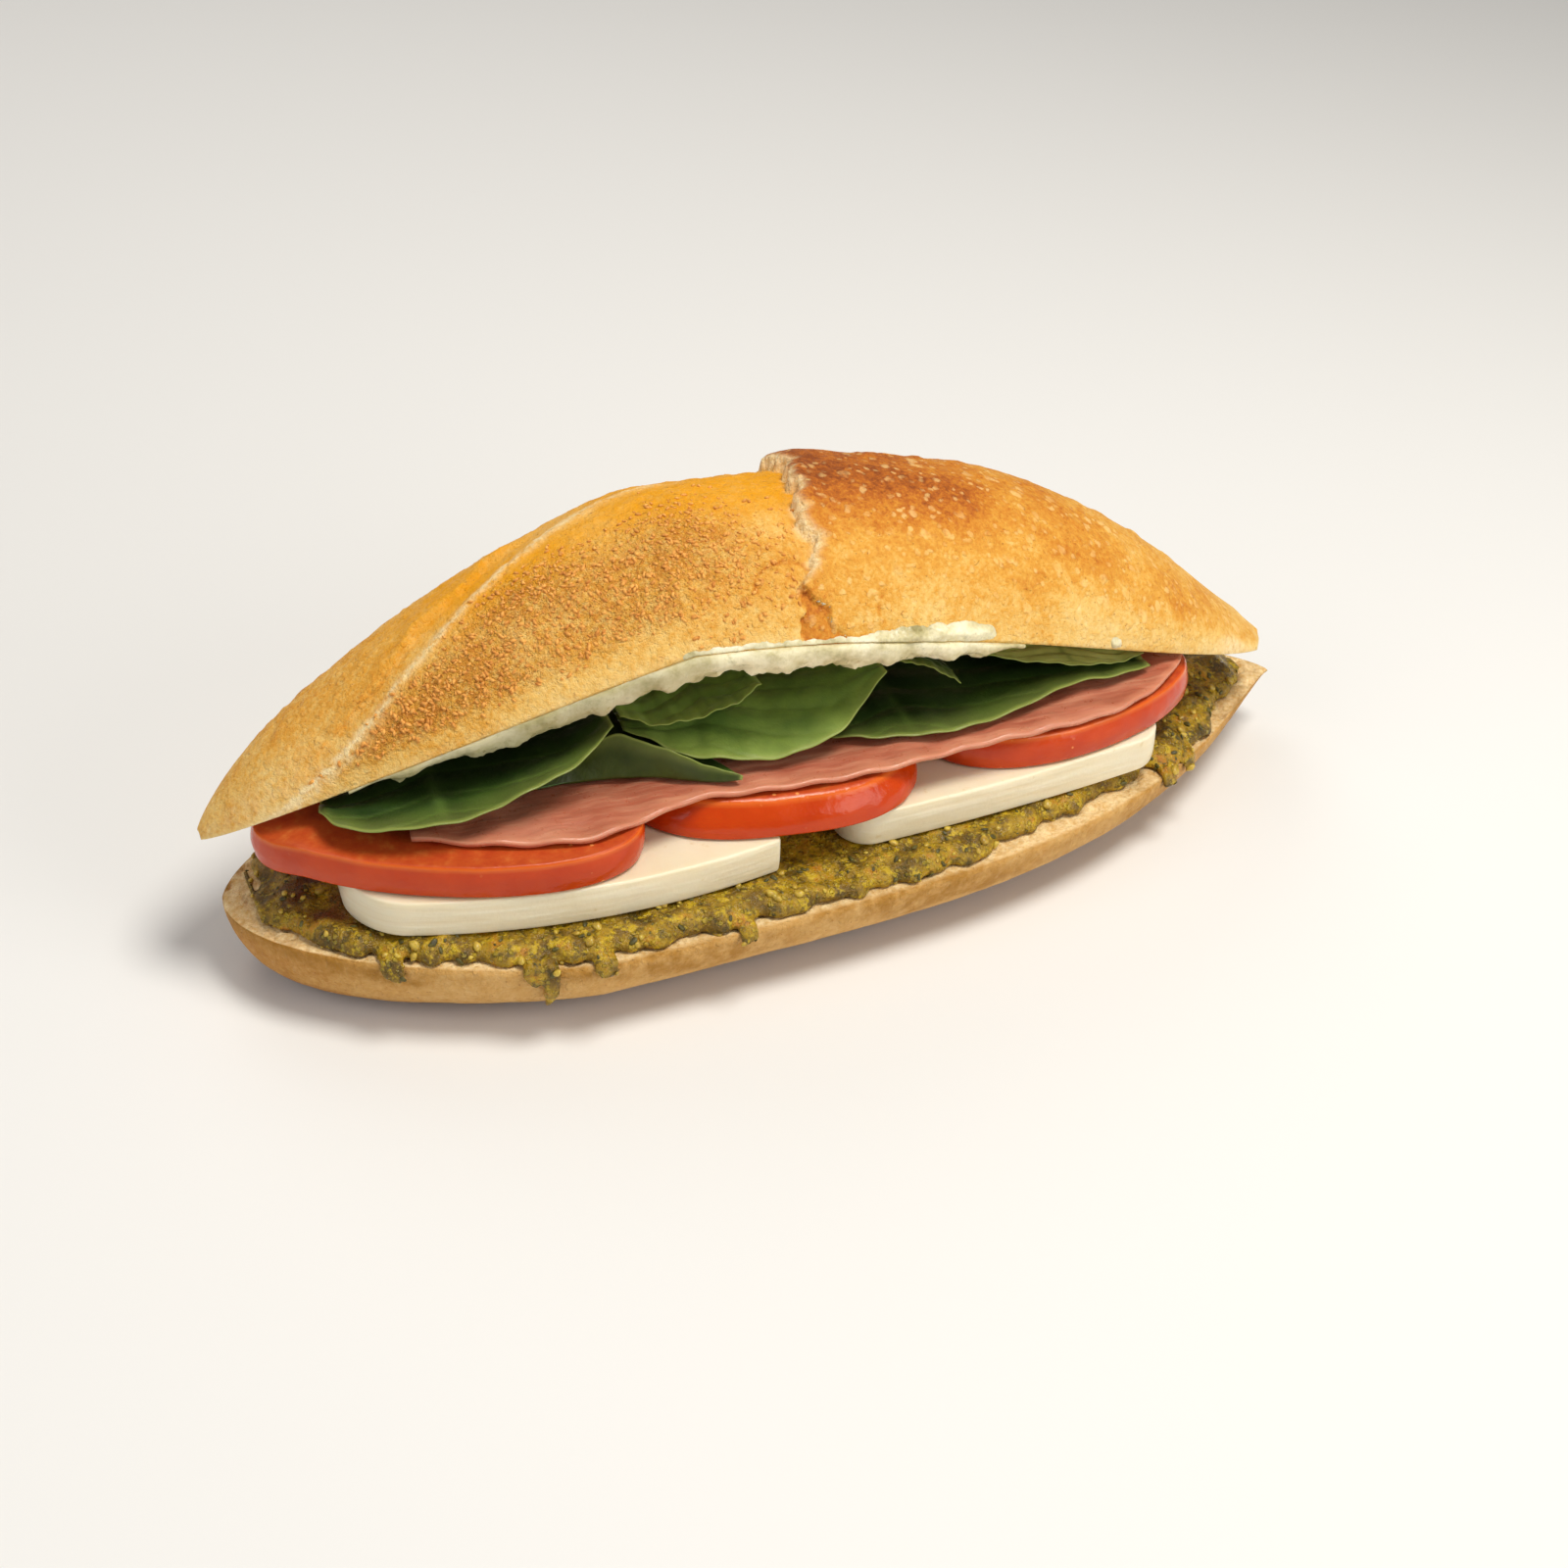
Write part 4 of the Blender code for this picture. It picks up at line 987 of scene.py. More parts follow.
def drip_grid(x0, half, drop, seed):
    t = np.linspace(-1.0, 1.0, 25)[:, None]
    x = x0 + half * t + 0.35 * np.sin(3.0 * t + seed)
    reach = np.sqrt(np.maximum(0.0, 1.0 - t * t))
    front, _, top, _ = heel_frame(x)
    low = 0.35 + drop * (0.12 + 0.88 * reach)
    swell = 0.35 + 1.25 * reach
    k = np.linspace(0.0, 1.0, 22)[None, :]
    d = low * (1.0 - k)
    y = heel_wall(x, d) - 0.3 - 0.03 * d
    fat = swell * (0.55 + 0.45 * np.sin(math.pi * np.minimum(1.0, 0.3 + 0.75 * k)))
    fat = fat * (1.0 + 0.35 * noise(np.stack([x + 0 * y, y, top - d], -1), 1.8, seed))
    lip = 1.0 * (k > 0.99)
    inner = [np.stack([x + 0 * y, y, top - d + 0.3 * lip], -1)]
    outer = [np.stack([x + 0 * y, y - fat, top - d + (0.3 + fat) * lip], -1)]
    for s in (1.2, 2.4, 3.6, 5.4, 7.2):
        inner.append(np.stack([x, front + s, top + 0.35], -1))
        outer.append(np.stack([x, front + s, top + 0.3 + swell * (1.25 - 0.1 * s)], -1))
    return np.concatenate(inner, 1), np.concatenate(outer, 1)


print(len(DRIPS), "drips, the longest", max(drip[2] for drip in DRIPS), "mm")

# %% [markdown]
# ## Melting the sauce together
# Blanket and drips overlap. A Boolean union would leave hard creases where they meet,
# so a fine voxel remesh melts them into one closed skin.


# %% Pesto mesh
def build_pesto():
    verts, faces = shell(*pesto_grid())
    for n, drip in enumerate(DRIPS):
        more, quads = shell(*drip_grid(*drip, 90 + n))
        faces += [tuple(int(i) + len(verts) for i in q) for q in quads]
        verts = np.concatenate([verts, more])
    obj = piece("pesto_spread", verts, faces, PESTO_PAINT)
    mod = obj.modifiers.new("melt", "REMESH")
    mod.mode = "VOXEL"
    mod.voxel_size = 0.66 * MM
    mod.use_smooth_shade = True
    mesh = evaluated_mesh(obj)
    obj.modifiers.clear()
    obj.data = mesh
    co = np.empty(len(mesh.vertices) * 3)
    mesh.vertices.foreach_get("co", co)
    p = co.reshape(-1, 3) / MM - SHIFT
    x = p[:, 0]
    behind = p[:, 1] - heel_frame(x)[0]
    show = smooth(15.0, 9.0, behind) + smooth(-100.0, -106.0, x) + smooth(80.0, 86.0, x)
    pool = 0.9 * bell(x, -110.0, 7.0) * smooth(4.0, 9.0, behind)
    store(mesh, {"show": np.clip(show, 0, 1) * (p[:, 2] > 15.0),
                 "sauce": pool * smooth(-0.6, 0.2, noise(p, 5.0, 87))})
    return obj


PESTO = settle(build_pesto(), "pesto")

# %% [markdown]
# ## Bits in the pesto
# Crushed pine nuts show as yellow lumps and torn basil as near-black flecks, only
# where the sauce is open to view. The scatter tree made for the bran serves again,
# with rounder grains for nuts and flat ones for leaf.

# %% Nuts and herbs
NUT = plain_paint("nut_bits", tone(204, 176, 66), tone(158, 126, 38), 2.0, 0.35, 0.2)
HERB = plain_paint("herb_bits", tone(96, 88, 26), tone(58, 52, 14), 1.0, 0.5)
scatter("nut_bits", PESTO, grain("nut_grain", (1.9, 1.5, 1.1), 5), "show",
        2.2, 0.35, 1.35, 11, NUT, "pesto")
scatter("herb_bits", PESTO, grain("herb_grain", (1.3, 0.8, 0.35), 9), "show",
        3.5, 0.4, 1.6, 13, HERB, "pesto")

# %% [markdown]
# ## Mozzarella
# Two thick slabs of soft white cheese. Fresh cheese has a milky glow, so the material
# scatters light under its surface, and a knife leaves faint level ridges, which come
# from noise squeezed along the height. Plain white would look like plastic.


# %% Mozzarella material
def cheese_paint():
    p = Paint("mozzarella", 0.38, 0.45, (1.0, 0.85, 0.6), 3.0)
    layer = p.noise(5.0, 3.0, 0.5, (0.25, 0.25, 3.5))
    color = p.ramp(layer, [(0.25, tone(230, 215, 180)), (0.65, tone(238, 228, 200))])
    color = p.coat(color, tone(206, 180, 110), p.band(p.noise(2.6, 3.0, 0.6), 0.66, 0.74), 0.35)
    rough = p.band(p.noise(3.0), 0.3, 0.7, 0.28, 0.5)
    return p.done(color, rough, [(layer, 0.2), (p.noise(1.1, 3.0), 0.06)])


CHEESE = cheese_paint()

# %% [markdown]
# ## Slices
# Cheese and tomato are both slices: an outline, a thickness and soft rims. A cube
# with a Bevel would do for one slab, but not for rims that lean or sag, so both are
# stacks of rings, drawn in ring by ring over the flat faces.


# %% Slice helpers
def slab_outline(x0, x1, y0, y1, corners, bulge, turn, step=1.1):
    """Outline of a slice of cheese: four corners, each with its own radius."""
    spots = [(x0, y0, 1, 1), (x1, y0, -1, 1), (x1, y1, -1, -1), (x0, y1, 1, -1)]
    starts = [math.pi, 1.5 * math.pi, 0.0, 0.5 * math.pi]
    cx = 0.5 * (x0 + x1)
    cy = 0.5 * (y0 + y1)
    key = []
    for (x, y, sx, sy), r, a0 in zip(spots, corners, starts):
        for k in range(13):
            a = a0 + 0.5 * math.pi * k / 12
            key.append((x + sx * r + r * math.cos(a), y + sy * r + r * math.sin(a)))
    key.append(key[0])
    pts = []
    for p, q in zip(key[:-1], key[1:]):
        n = max(1, int(math.dist(p, q) / step))
        for k in range(n):
            pts.append((p[0] + (q[0] - p[0]) * k / n, p[1] + (q[1] - p[1]) * k / n))
    pts = np.array(pts)
    s = (pts[:, 0] - cx) / (0.5 * (x1 - x0))
    pts[:, 1] -= np.where(pts[:, 1] < cy, bulge * (1.0 - s * s), 0.0)
    rel = pts - (cx, cy)
    c, n = math.cos(turn), math.sin(turn)
    return np.stack([cx + rel[:, 0] * c - rel[:, 1] * n, cy + rel[:, 0] * n + rel[:, 1] * c], 1)


def slice_mesh(outline, z0, z1, edge, bulge, sag, seed, rough=0.12, lean=0.0):
    """A slice with softened rims, from height z0 to z1; sag lowers it along x, and
    lean is how far the top rim stands back from the bottom rim."""
    mid = outline.mean(axis=0)
    rel = outline - mid
    unit = rel / np.linalg.norm(rel, axis=1, keepdims=True)
    bend = [(edge * (1 - math.cos(0.5 * math.pi * k / 5)),
             -edge * (1 - math.sin(0.5 * math.pi * k / 5))) for k in range(6)]
    levels = [(z0 + up, back) for up, back in bend]
    for k in range(1, 10):
        t = k / 10.0
        levels.append((z0 + edge + (z1 - z0 - 2 * edge) * t, bulge * math.sin(math.pi * t)))
    levels += [(z1 - up, back) for up, back in reversed(bend)]
    rings = []
    shares = (0.15, 0.4, 0.6, 0.75, 0.85, 0.92, 0.97)
    for share in shares:
        ring = mid + (rel - unit * edge) * share
        rings.append(np.column_stack([ring, np.full(len(ring), z0)]))
    for z, grow in levels:
        ring = outline + unit * (grow - lean * ((z - z0) / (z1 - z0)) ** 1.4)
        rings.append(np.column_stack([ring, np.full(len(ring), z)]))
    for share in reversed(shares):
        ring = mid + (rel - unit * (edge + lean)) * share
        rings.append(np.column_stack([ring, np.full(len(ring), z1)]))
    rings = np.array(rings)
    rings[..., 2] += sag(rings[..., 0])
    push = rough * fractal(rings, 6.0, seed) * smooth(z0, z0 + 1.0, rings[..., 2])
    rings[..., 0] += unit[None, :, 0] * push
    rings[..., 1] += unit[None, :, 1] * push
    return tube(rings)


def level(x):
    return 0.0 * x


trial = slab_outline(-10.0, 10.0, -5.0, 5.0, (2.0, 2.0, 2.0, 2.0), 0.0, 0.0)
print("a 20 by 10 mm slab is outlined by", len(trial), "points")

# %% [markdown]
# ## Two slabs
# The left slab's front corner is almost square where the knife turned, and the others
# are round. Four corners with a radius each say this in one line per slab.

# %% Mozzarella slabs
for side, box, corners, bulge, turn in (
        ("left", (-105.0, -16.0, -31.2, 24.0), (11.0, 0.8, 0.8, 12.0), 6.5, -0.06),
        ("right", (-4.0, 78.0, -27.0, 27.0), (6.0, 8.0, 10.0, 8.0), 1.6, 0.12)):
    points, quads = slice_mesh(slab_outline(*box, corners, bulge, turn), 22.0, 30.2,
                               0.6, 0.15, level, 101)
    settle(piece("cheese_" + side, points, quads, CHEESE), "mozzarella_" + side)

# %% [markdown]
# ## Tomato
# Thick slices of a ripe tomato. The rim is glossy orange-red skin with a painted highlight
# just under its top edge; the cut top is paler, wet flesh with small flecks. Two
# materials would need split meshes, so one material reads where the cut lies.


# %% Tomato material
def tomato_paint():
    p = Paint("tomato", 0.24, 0.15, (1.0, 0.25, 0.08), 2.0, 0.35)
    skin = p.ramp(p.noise(9.0, 3.0, 0.5), [(0.25, tone(184, 52, 2)), (0.75, tone(202, 68, 6))])
    flesh = p.ramp(p.noise(3.0, 4.0, 0.65), [
        (0.3, tone(180, 60, 22)), (0.55, tone(194, 80, 30)), (0.75, tone(206, 108, 48))])
    color = p.coat(skin, flesh, p.value("cut"))
    # A painted highlight along the skin just under the top rim.
    color = p.coat(color, tone(226, 112, 40), p.value("line"), 0.75)
    color = p.coat(color, tone(244, 168, 90), p.band(p.cells(3.6), 0.13, 0.08),
                   p.band(p.noise(14.0, 2.0), 0.5, 0.6), 0.8)
    rough = p.band(p.value("cut"), 0.0, 1.0, 0.2, 0.42)
    return p.done(color, rough, [(p.noise(2.2, 3.0), 0.16)])


TOMATO = tomato_paint()

# %% [markdown]
# ## Three slices
# The slices lie side by side on the cheese. Each is a soft oval, deeper on its hidden
# side, and the outer ones sag where the cheese ends. The middle slice leans back.


# %% Tomato slices
def stack_sag(x):
    return -4.0 * smooth(86.0, 104.0, x) - 2.6 * smooth(-112.0, -122.0, x)


def round_outline(cx, cy, a, b, deep, turn, power, count=240):
    t = np.linspace(0.0, 2.0 * math.pi, count + 1)[:-1]
    c = np.cos(t)
    s = np.sin(t)
    u = a * np.sign(c) * np.abs(c) ** (2.0 / power)
    v = np.where(s < 0, b, deep) * np.sign(s) * np.abs(s) ** (2.0 / power)
    wob = 1.0 + 0.008 * np.sin(3.0 * t + cx)
    return np.stack([cx + (u * math.cos(turn) - v * math.sin(turn)) * wob,
                     cy + (u * math.sin(turn) + v * math.cos(turn)) * wob], 1)


TOMATOES = [  # name, centre, half width, front and back depth, turn, squareness; seed; lean
    ("left", (-82.9, -15.44, 39.1, 18.1, 22.0, -0.36, 2.1), 111, 0.0),
    ("middle", (-12.2, -4.03, 34.5, 29.9, 31.0, -0.12, 2.75), 112, 3.8),
    ("right", (59.9, -4.2, 36.6, 20.6, 26.0, 0.25, 2.1), 113, 1.0)]
TOMATO_Z0, TOMATO_Z1 = 30.5, 38.0
for side, shape, seed, lean in TOMATOES:
    points, quads = slice_mesh(round_outline(*shape), TOMATO_Z0, TOMATO_Z1, 0.8, 0.45,
                               stack_sag, seed, 0.2, lean)
    z = points[:, 2] - stack_sag(points[:, 0])
    cut = np.clip(smooth(TOMATO_Z1 - 0.25, TOMATO_Z1 - 0.02, z)
                  + smooth(TOMATO_Z0 + 0.25, TOMATO_Z0 + 0.02, z), 0, 1)
    # A painted highlight along the skin just under the top rim.
    line = bell(z, TOMATO_Z1 - 0.5, 0.45) * (1 - cut)
    settle(piece("tomato_slice_" + side, points, quads, TOMATO, {"cut": cut, "line": line}),
           "tomato_" + side)

# %% [markdown]
# ## Rails and sheets
# Ham and leaves are thin. A cloth simulation would drape them, but not to this place.
# So each is a grid stretched between a front rim and a hidden back rim, both smooth
# curves through a few points, with a thickness along its own normal, so that it closes
# into a thin solid as a real leaf or slice does.


# %% Rails and sheets
def rail(points, n):
    """A smooth curve of n points through the given ones."""
    pts = np.array(points, float)
    gaps = np.linalg.norm(np.diff(pts, axis=0), axis=1) ** 0.5
    knots = np.concatenate([[0.0], np.cumsum(gaps)])
    slope = np.gradient(pts, knots, axis=0)
    s = np.linspace(0.0, knots[-1], n)
    i = np.clip(np.searchsorted(knots, s, side="right") - 1, 0, len(pts) - 2)
    w = (knots[i + 1] - knots[i])[:, None]
    t = (s - knots[i])[:, None] / w
    curve = (1.0 + 2.0 * t) * (1.0 - t) ** 2 * pts[i] + t * (1.0 - t) ** 2 * w * slope[i]
    return curve + t * t * (3.0 - 2.0 * t) * pts[i + 1] + t * t * (t - 1.0) * w * slope[i + 1]


def normals(grid):
    """Upward normals of a grid of points."""
    n = np.cross(np.gradient(grid, axis=1), np.gradient(grid, axis=0))
    n = n / np.maximum(np.linalg.norm(n, axis=-1, keepdims=True), 1e-9)
    return n * (-1.0 if n[..., 2].mean() < 0 else 1.0)


def sheet(name, grid, thick, material, values):
    half = 0.5 * thick[..., None] * normals(grid)
    verts, faces = shell(grid - half, grid + half)
    both = {k: np.concatenate([v.ravel(), v.ravel()]) for k, v in values.items()}
    both["upper"] = np.repeat([0.0, 1.0], thick.size)
    return piece(name, verts, faces, material, both)


print("a rail of five points", rail([(0, 0, 0), (1, 1, 0), (3, 0, 0)], 5)[:, 1].round(2))

# %% [markdown]
# ## Ham
# One long slice lies over the tomatoes and sinks a little where two of them meet.
# Cooked ham is pink and moist with paler streaks along the muscle and soft folds. The
# streaks are noise stretched along the slice; the folds are a broad, shallow bump.


# %% Ham material
def ham_paint():
    p = Paint("ham", 0.3, 0.35, (1.0, 0.4, 0.3), 2.0)
    muscle = p.noise(6.0, 4.0, 0.6, (0.28, 3.0, 3.0))
    color = p.ramp(muscle, [(0.3, tone(166, 86, 62)), (0.5, tone(184, 106, 80)),
                            (0.7, tone(204, 138, 108))])
    # Broad pale patches: partly uneven colour, partly a painted sheen.
    color = p.coat(color, tone(220, 150, 120), p.band(p.noise(16.0, 2.0, 0.5), 0.42, 0.66), 0.4)
    color = p.coat(color, tone(214, 146, 112), p.value("rim"), 0.55)
    rough = p.band(p.noise(2.0), 0.3, 0.7, 0.24, 0.45)
    folds = p.noise(13.0, 2.0, 0.4, (0.6, 1.5, 1.0))
    return p.done(color, rough, [(folds, 2.2), (muscle, 0.2), (p.noise(0.8, 3.0), 0.05)])


HAM_PAINT = ham_paint()

# %% [markdown]
# ## Ham slice
# Its front rim is what shows, so that rim is the curve with the most points; behind
# it the slice runs flat under the leaves.

# %% Ham slice
HAM_FRONT = [(-93, -23.5), (-82, -28.6), (-70, -32.4), (-58, -34), (-46, -30.5),
             (-34, -27.6), (-22, -28.4), (-8, -29.4), (4, -29.2), (13.5, -28.6), (22, -27.2),
             (34, -26.5), (50, -25.5), (66, -23), (80, -16.5), (90, -8), (93, -3)]


HAM_Z = 39.22


def build_ham():
    front = rail([(x, y, 0.0) for x, y in HAM_FRONT], 270)[None]
    v = np.linspace(0.0, 1.0, 72)[:, None]
    x = front[..., 0] * (1.0 - 0.06 * v)
    y = front[..., 1] + (28.0 - 0.0022 * (x + 5.0) ** 2 - front[..., 1]) * v
    hang = (1.0 - v) ** 3
    dip = 0.45 * bell(x, -46.0, 4.0) + 0.45 * bell(x, 23.5, 4.0)
    z = HAM_Z + stack_sag(x) + (0.28 * np.sin(0.55 * x) + 0.3 - dip) * hang
    grid = np.stack([x, y, z], -1)
    grid[..., 2] += 0.12 * noise(grid, 6.0, 121) * hang
    thick = 1.5 - 0.5 * smooth(0.05, 0.0, v) + 0 * x
    return sheet("ham_slice", grid, thick, HAM_PAINT, {"rim": smooth(0.06, 0.0, v) + 0 * x})


settle(build_ham(), "ham")

# %% [markdown]
# ## Spinach
# Seven leaves are tucked between ham and crown. A leaf is dark and waxy above, duller
# below, with paler veins and rim. Its material comes in four copies painted from shaded to
# lit, the most shaded one darker still under the crown, and a painted highlight runs along
# the front rim. The veins could be a picture, but a leaf here carries its own length and
# width values, so the veins follow every fold.


# %% Leaf material
def leaf_paint(name, light, dark, shade=0.0):
    p = Paint(name, 0.4, 0.15, (0.35, 0.8, 0.15), 1.0, 0.35)
    patch = p.noise(11.0, 3.0, 0.6)
    vein = p.value("vein")
    face = p.ramp(patch, [(0.3, dark), (0.7, light)])
    face = p.coat(face, tone(96, 122, 52), vein, 0.55)
    under = p.ramp(patch, [(0.3, tone(42, 54, 10)), (0.7, tone(66, 78, 18))])
    color = p.coat(under, face, p.value("upper"))
    # Painted shade, growing deeper under the crown.
    if shade:
        color = p.coat(color, tone(14, 26, 8), p.value("deep"), shade)
    # A paler rim, and a painted highlight along the front rim.
    color = p.coat(color, tone(150, 160, 78), p.value("rim"), 0.7)
    rough = p.band(p.noise(4.0), 0.3, 0.7, 0.3, 0.5)
    sunk = p.math("MULTIPLY", vein, -1.0)
    return p.done(color, rough, [(p.noise(3.0, 3.0), 0.25), (p.noise(0.5, 3.0), 0.05),
                                 (sunk, 0.12)])


# Four copies of one leaf material with painted light, from shaded to lit; the most shaded one also
# takes painted shade deeper under the crown.
LEAF_SHADED = leaf_paint("leaf_shaded", tone(58, 84, 28), tone(30, 50, 18), 0.7)
LEAF_HALF_SHADED = leaf_paint("leaf_half_shaded", tone(78, 104, 38), tone(46, 70, 26))
LEAF_HALF_LIT = leaf_paint("leaf_half_lit", tone(136, 162, 72), tone(92, 122, 52))
LEAF_LIT = leaf_paint("leaf_lit", tone(206, 212, 128), tone(166, 180, 98))


# %% [markdown]
# ## Growing a leaf
# Each leaf is a sheet with a midrib, side veins that curve away from it, quilted
# bulges between them, a cupped middle and a rippled rim. Subdividing a plane and
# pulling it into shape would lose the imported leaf's rims; these are kept exactly.


# %% Leaf shape
LEAF_ROWS, LEAF_COLS = 66, 110
TUCK_AT = 0.42  # how far in a folded leaf turns under


def leaf_grid(front, back_rim, tuck):
    v = np.linspace(0.0, 1.0, LEAF_ROWS)[:, None, None]
    f, b = rail(front, LEAF_COLS)[None], rail(back_rim, LEAF_COLS)[None]
    if not tuck:
        return f + (b - f) * v
    m = rail(tuck, LEAF_COLS)[None]
    over = m + (b - m) * ((v - TUCK_AT) / (1 - TUCK_AT))
    return np.where(v < TUCK_AT, f + (m - f) * (v / TUCK_AT), over)


def leaf(name, paint, cup, ripple, seed, rib, front, back_rim, tuck=None):
    """v runs from the front rim to the back rim, u along them; rib is the midrib's u."""
    veins = 0.0 if tuck else 1.0
    v = np.linspace(0.0, 1.0, LEAF_ROWS)[:, None]
    u = np.linspace(0.0, 1.0, LEAF_COLS)[None, :]
    grid = leaf_grid(front, back_rim, tuck)
    grid[..., 2] -= cup * np.sin(math.pi * np.minimum(1.0, 1.6 * v)) * np.sin(math.pi * u)
    wave = np.sin(7.0 * u * math.pi) + 0.6 * np.sin(17.0 * u * math.pi + seed)
    grid[..., 2] += ripple * wave * (1.0 - v) ** 2
    side = np.abs(u - rib) * 2.0
    stem = bell(u, rib, 0.016) * smooth(0.0, 0.12, v)
    comb = (v * 6.0 + side * 1.6 + 0.25 * noise(grid, 14.0, seed)) % 1.0
    twig = bell(comb, 0.5, 0.07) * smooth(1.0, 0.6, side) * 0.7
    vein = np.clip(stem + twig, 0, 1)
    quilt = 0.18 * np.cos((comb - 0.5) * 2 * math.pi) * smooth(0.05, 0.2, v)
    n = normals(grid)
    grid = grid - n * ((quilt + 0.16 * vein) * veins)[..., None]
    grid = grid + n * (0.22 * noise(grid, 7.0, seed + 1) * smooth(0, 0.1, v))[..., None]
    edge = np.minimum(np.minimum(u, 1 - u) * 40.0, np.minimum(v, 1 - v) * 22.0)
    # A painted highlight along the front rim.
    glow = 0.4 * smooth(5.5, 0.5, v * 26.0)
    thick = 0.22 + 0.2 * smooth(0.0, 1.5, edge) + 0.35 * stem * veins
    # deep carries painted shade that grows towards the back, under the crown.
    return sheet("spinach_" + name, grid, thick, paint, {
        "vein": vein * veins, "rim": np.maximum(smooth(1.0, 0.3, edge), glow),
        "deep": smooth(0.10, 0.42, v + 0 * u)})


print("a leaf has", LEAF_ROWS, "by", LEAF_COLS, "points on each side")

# %% [markdown]
# ## Seven leaves
# The rims were read off the open side of the roll from left to right. The hidden back
# rims are short runs under the crown.

# %% Leaves
LEAVES = [  # name, paint, cup, ripple, seed, midrib, front rim, back rim, tuck
    ("leaf_left", LEAF_SHADED, 1.6, 0.25, 131, 0.42,
     [(-108.7, -12.5, 41.8), (-106.5, -20.5, 43.4), (-98, -26, 44.4), (-86, -28.6, 45.4),
      (-75, -27.9, 47.2), (-65.6, -26.2, 49.6), (-57.5, -24, 51.8), (-49.7, -18.5, 54.6)],
     [(-104, 2, 41.5), (-96, 12, 42.6), (-84, 17, 44.4), (-70, 18, 46.6), (-58, 16, 48.6),
      (-47, 12, 50.2)]),
    ("leaf_fold", LEAF_HALF_SHADED, 0.0, 0.15, 132, 0.8,
     [(-64, -14.4, 43.6), (-55, -13.6, 46.2), (-47.9, -14.4, 49.6), (-42, -17.6, 48.6),
      (-36, -21.4, 46.8), (-30.4, -24, 44.6), (-24, -26, 42.2)],
     [(-62, 2, 41.4), (-52, 8, 41.4), (-42, 8, 41.4), (-33, -6, 41.4), (-24.6, -24, 41.5)],
     [(-66, -17.6, 41.6), (-58, -17.2, 41.4), (-50, -18, 41.4), (-43, -19.6, 41.4),
      (-36, -22.2, 41.4), (-30, -25, 41.4), (-24.2, -26.2, 41.5)]),
    ("leaf_back", LEAF_HALF_LIT, 0.8, 0.3, 133, 0.6,
     [(-46.2, -12.4, 52.2), (-38.6, -16.6, 51.6), (-30.4, -17, 52.2), (-21.8, -16, 53.6),
      (-15.5, -13, 55)],
     [(-44, 14, 48.4), (-34, 20, 47), (-24, 20, 47.4), (-14, 14, 50)]),
    ("leaf_centre", LEAF_HALF_LIT, -2.0, 0.3, 134, 0.3,
     [(-45, -11.5, 48), (-39.5, -15.8, 46.9), (-33, -20.2, 45), (-23.9, -23, 44.2),
      (-13.3, -24, 43.8), (-2.2, -22.9, 46), (5.7, -18.9, 50.4), (12.3, -14.8, 54.2)],
     [(-43, 8, 45.6), (-24, 20, 45), (-8, 24, 45), (6, 18, 48), (12.6, 2, 52.8)]),
    ("leaf_small", LEAF_SHADED, -0.8, 0.2, 135, 0.5,
     [(14.4, -6, 55), (15.6, -12.4, 54.6), (20, -14.2, 54.2), (24.8, -17, 52.6),
      (28, -19, 50.8)],
     [(15.4, 8, 50.8), (19.6, 10, 49.6), (25, 9, 48.6), (30, 4, 47.6)]),
    ("leaf_right", LEAF_SHADED, 0.6, 0.3, 136, 0.25,
     [(-1.1, -18.6, 42.4), (7, -21.4, 42.4), (15, -22.4, 42.4), (22.8, -23.9, 42.2),
      (33.1, -22.8, 42.6), (47.5, -19.5, 43.2), (59.7, -16.2, 44), (70.2, -15.2, 42.8),
      (79.1, -12.4, 41.8)],
     [(2, 8, 42.2), (16, 20, 42.2), (34, 25, 42), (52, 24, 41.8), (68, 17, 41.6),
      (79, 4, 41.4)]),
    ("leaf_upper_right", LEAF_LIT, 0.3, 0.2, 137, 0.5,
     [(38, -9, 50), (47, -11, 48.2), (56, -12.4, 46.6), (65, -12.8, 45), (73, -11.4, 43.8),
      (79.4, -8.6, 42.8)],
     [(40, 8, 46.8), (50, 12, 45.4), (60, 12, 44.2), (70, 8, 43.2), (78, 1, 42.6)]),
]
for row in LEAVES:
    settle(leaf(*row), row[0])

# %% [markdown]
# ## Creamy spread
# A pale, lumpy spread clings under the crown and shows as an uneven band above the
# leaves. Like the sauce it could be sculpted, but a blanket hung from the crown's
# underside stays in touch with it everywhere.


# %% Cream material
def cream_paint():
    p = Paint("cream", 0.35, 0.35, (1.0, 0.9, 0.6), 2.5)
    color = p.ramp(p.noise(9.0, 4.0, 0.65), [
        (0.30, tone(152, 142, 92)), (0.44, tone(212, 200, 154)), (0.58, tone(244, 234, 198))])
    color = p.coat(color, tone(140, 132, 66), p.band(p.noise(4.5, 4.0, 0.7), 0.58, 0.7), 0.45)
    color = p.coat(color, tone(138, 130, 82), p.value("shade"), 0.5)
    rough = p.band(p.noise(2.0), 0.3, 0.7, 0.22, 0.42)
    return p.done(color, rough, [(p.noise(2.4, 4.0, 0.65), 0.4)])


CREAM_PAINT = cream_paint()

# %% [markdown]
# ## The band under the crown
# The cream is thickest just inside the front rim and thins out towards the back and
# to both ends, as it does when it is squeezed forward by the filling.

# %% Cream
CREAM_X0, CREAM_X1 = -103.0, 42.0


def cream_thick(x):
    thin = 2.2 + 3.2 * smooth(-96.0, -62.0, x) - 1.6 * smooth(-4.0, 30.0, x)
    return thin + 0.5 * np.sin(0.33 * x) + 0.35 * np.sin(0.81 * x + 0.6)


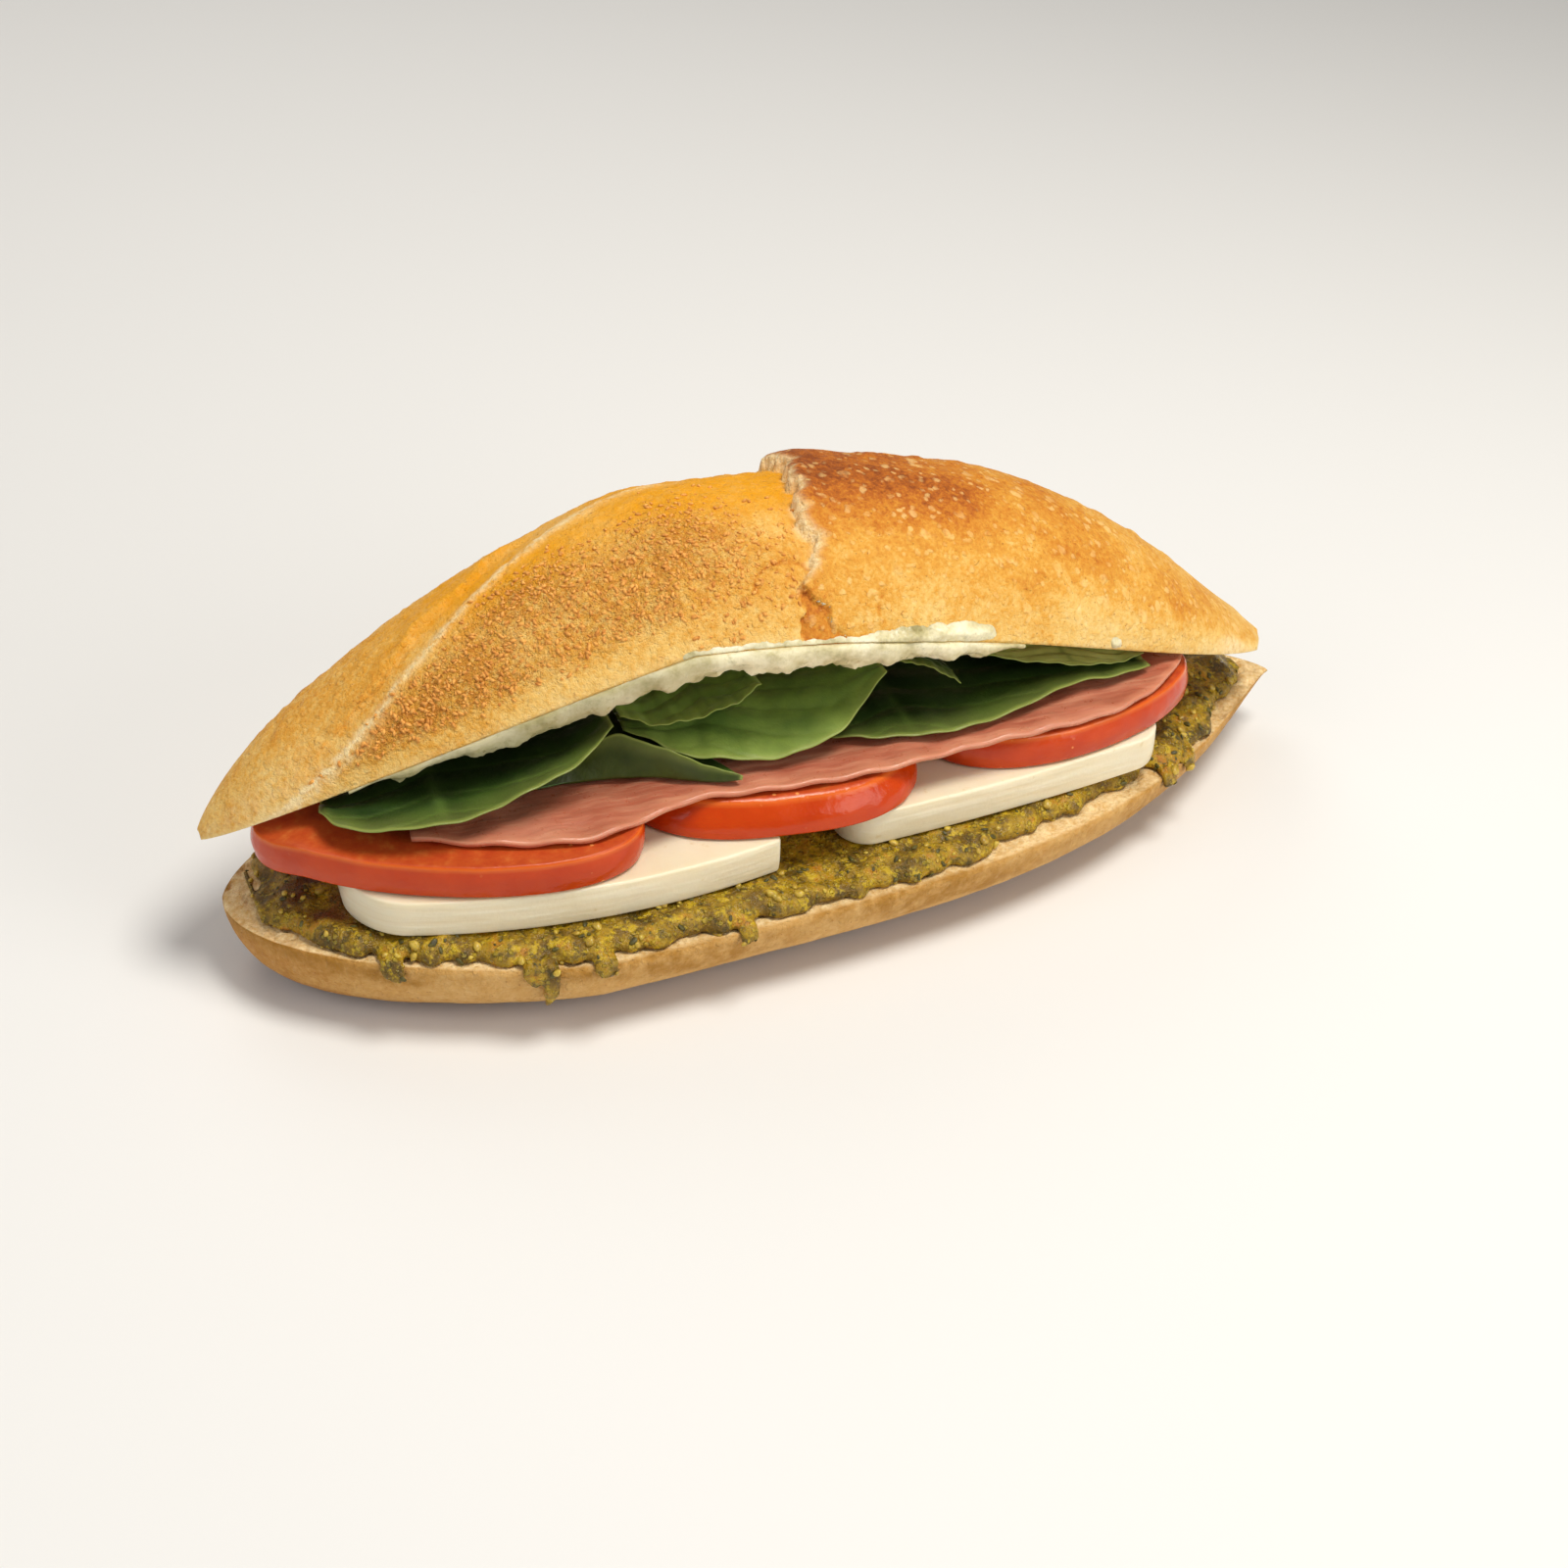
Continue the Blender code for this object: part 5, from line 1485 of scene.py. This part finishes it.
def build_cream():
    x = stations(CREAM_X0, CREAM_X1, 280)[:, None]
    fy, _, by, _ = crown_edges(x)
    end = np.clip(np.minimum((x - CREAM_X0) / 10.0, (CREAM_X1 - x) / 10.0), 0.3, 1.0)
    y0 = fy - 0.25 + 0.3 * np.sin(0.5 * x) - 0.5 * smooth(-46.0, -30.0, x)
    u = np.linspace(0.0, 1.0, 66)[None, :] ** 1.7
    y = y0 + 0.62 * (by - fy) * u
    near = np.clip((y - y0) / 2.2, 0.0, 1.0)
    rise = 0.3 + 0.7 * np.sqrt(near * (2.0 - near))
    z = crown_under(x, y) - 0.02 - 0.43 * smooth(0.2, 1.6, y - fy)
    upper = np.stack([x + 0 * y, y, z], -1)
    lump = 1.5 * fractal(upper, 6.0, 141) + 0.9 * fractal(upper, 2.4, 142)
    lump = lump * near * np.exp(-(y - y0) / 14.0)
    low = cream_thick(x) * end * rise * (1.0 - 0.78 * u) + 0.7 * lump * end
    push = 0.9 * np.clip(lump, -1.0, 1.6) * np.exp(-(y - y0) / 5.0) * end
    lower = np.stack([x + 0 * y, y - push, z - np.maximum(0.4, low)], -1)
    verts, faces = shell(lower, upper)
    return piece("cream_spread", verts, faces, CREAM_PAINT,
                 {"shade": smooth(-15.0, -60.0, verts[:, 0])})


settle(build_cream(), "cream")

# %% [markdown]
# ## Smears on the crust
# Cream was wiped onto the crust beside the crack and in a few dabs along the rim. It
# lies on the crust's own relief, so the smear is a skin just under the crust that
# rises through it only where a dab is.


# %% Smears of cream on the crust
DABS = [  # place along the rim, height above it in rad, half width, half height, thickness
    (9.0, 0.02, 6.0, 0.05, 0.9), (17.0, 0.035, 5.0, 0.055, 1.1), (24.0, 0.06, 5.0, 0.055, 1.3),
    (31.0, 0.07, 3.5, 0.05, 0.9), (68.0, 0.06, 1.6, 0.05, 0.8), (-24.0, 0.02, 14.0, 0.035, 0.6),
    (-4.0, 0.015, 10.0, 0.03, 0.6)]


def build_smear():
    x = np.linspace(-44.0, 104.0, 420)[:, None]
    a = np.linspace(0.004, 0.26, 34)[None, :]
    pts, out, past, raised = crown_surface(x, a)
    h = crown_relief(x, a, pts, past, raised)[0]
    tall = 0.0
    for x0, a0, wide, high, thick in DABS:
        tall = tall + thick * np.exp(-((x - x0) / wide) ** 4 - ((a - a0) / high) ** 2)
    rough_edge = 0.6 * fractal(pts, 4.5, 145) + 0.3 * fractal(pts, 1.6, 146)
    tall = tall * (1.0 + 0.6 * rough_edge) - 0.38 + 0.3 * rough_edge
    tall = np.clip(tall, -0.35, 2.0)
    base = pts + out * h[..., None]
    verts, faces = shell(base - 0.6 * out, base + out * tall[..., None])
    return piece("cream_smear", verts, faces, CREAM_PAINT)


settle(build_smear())
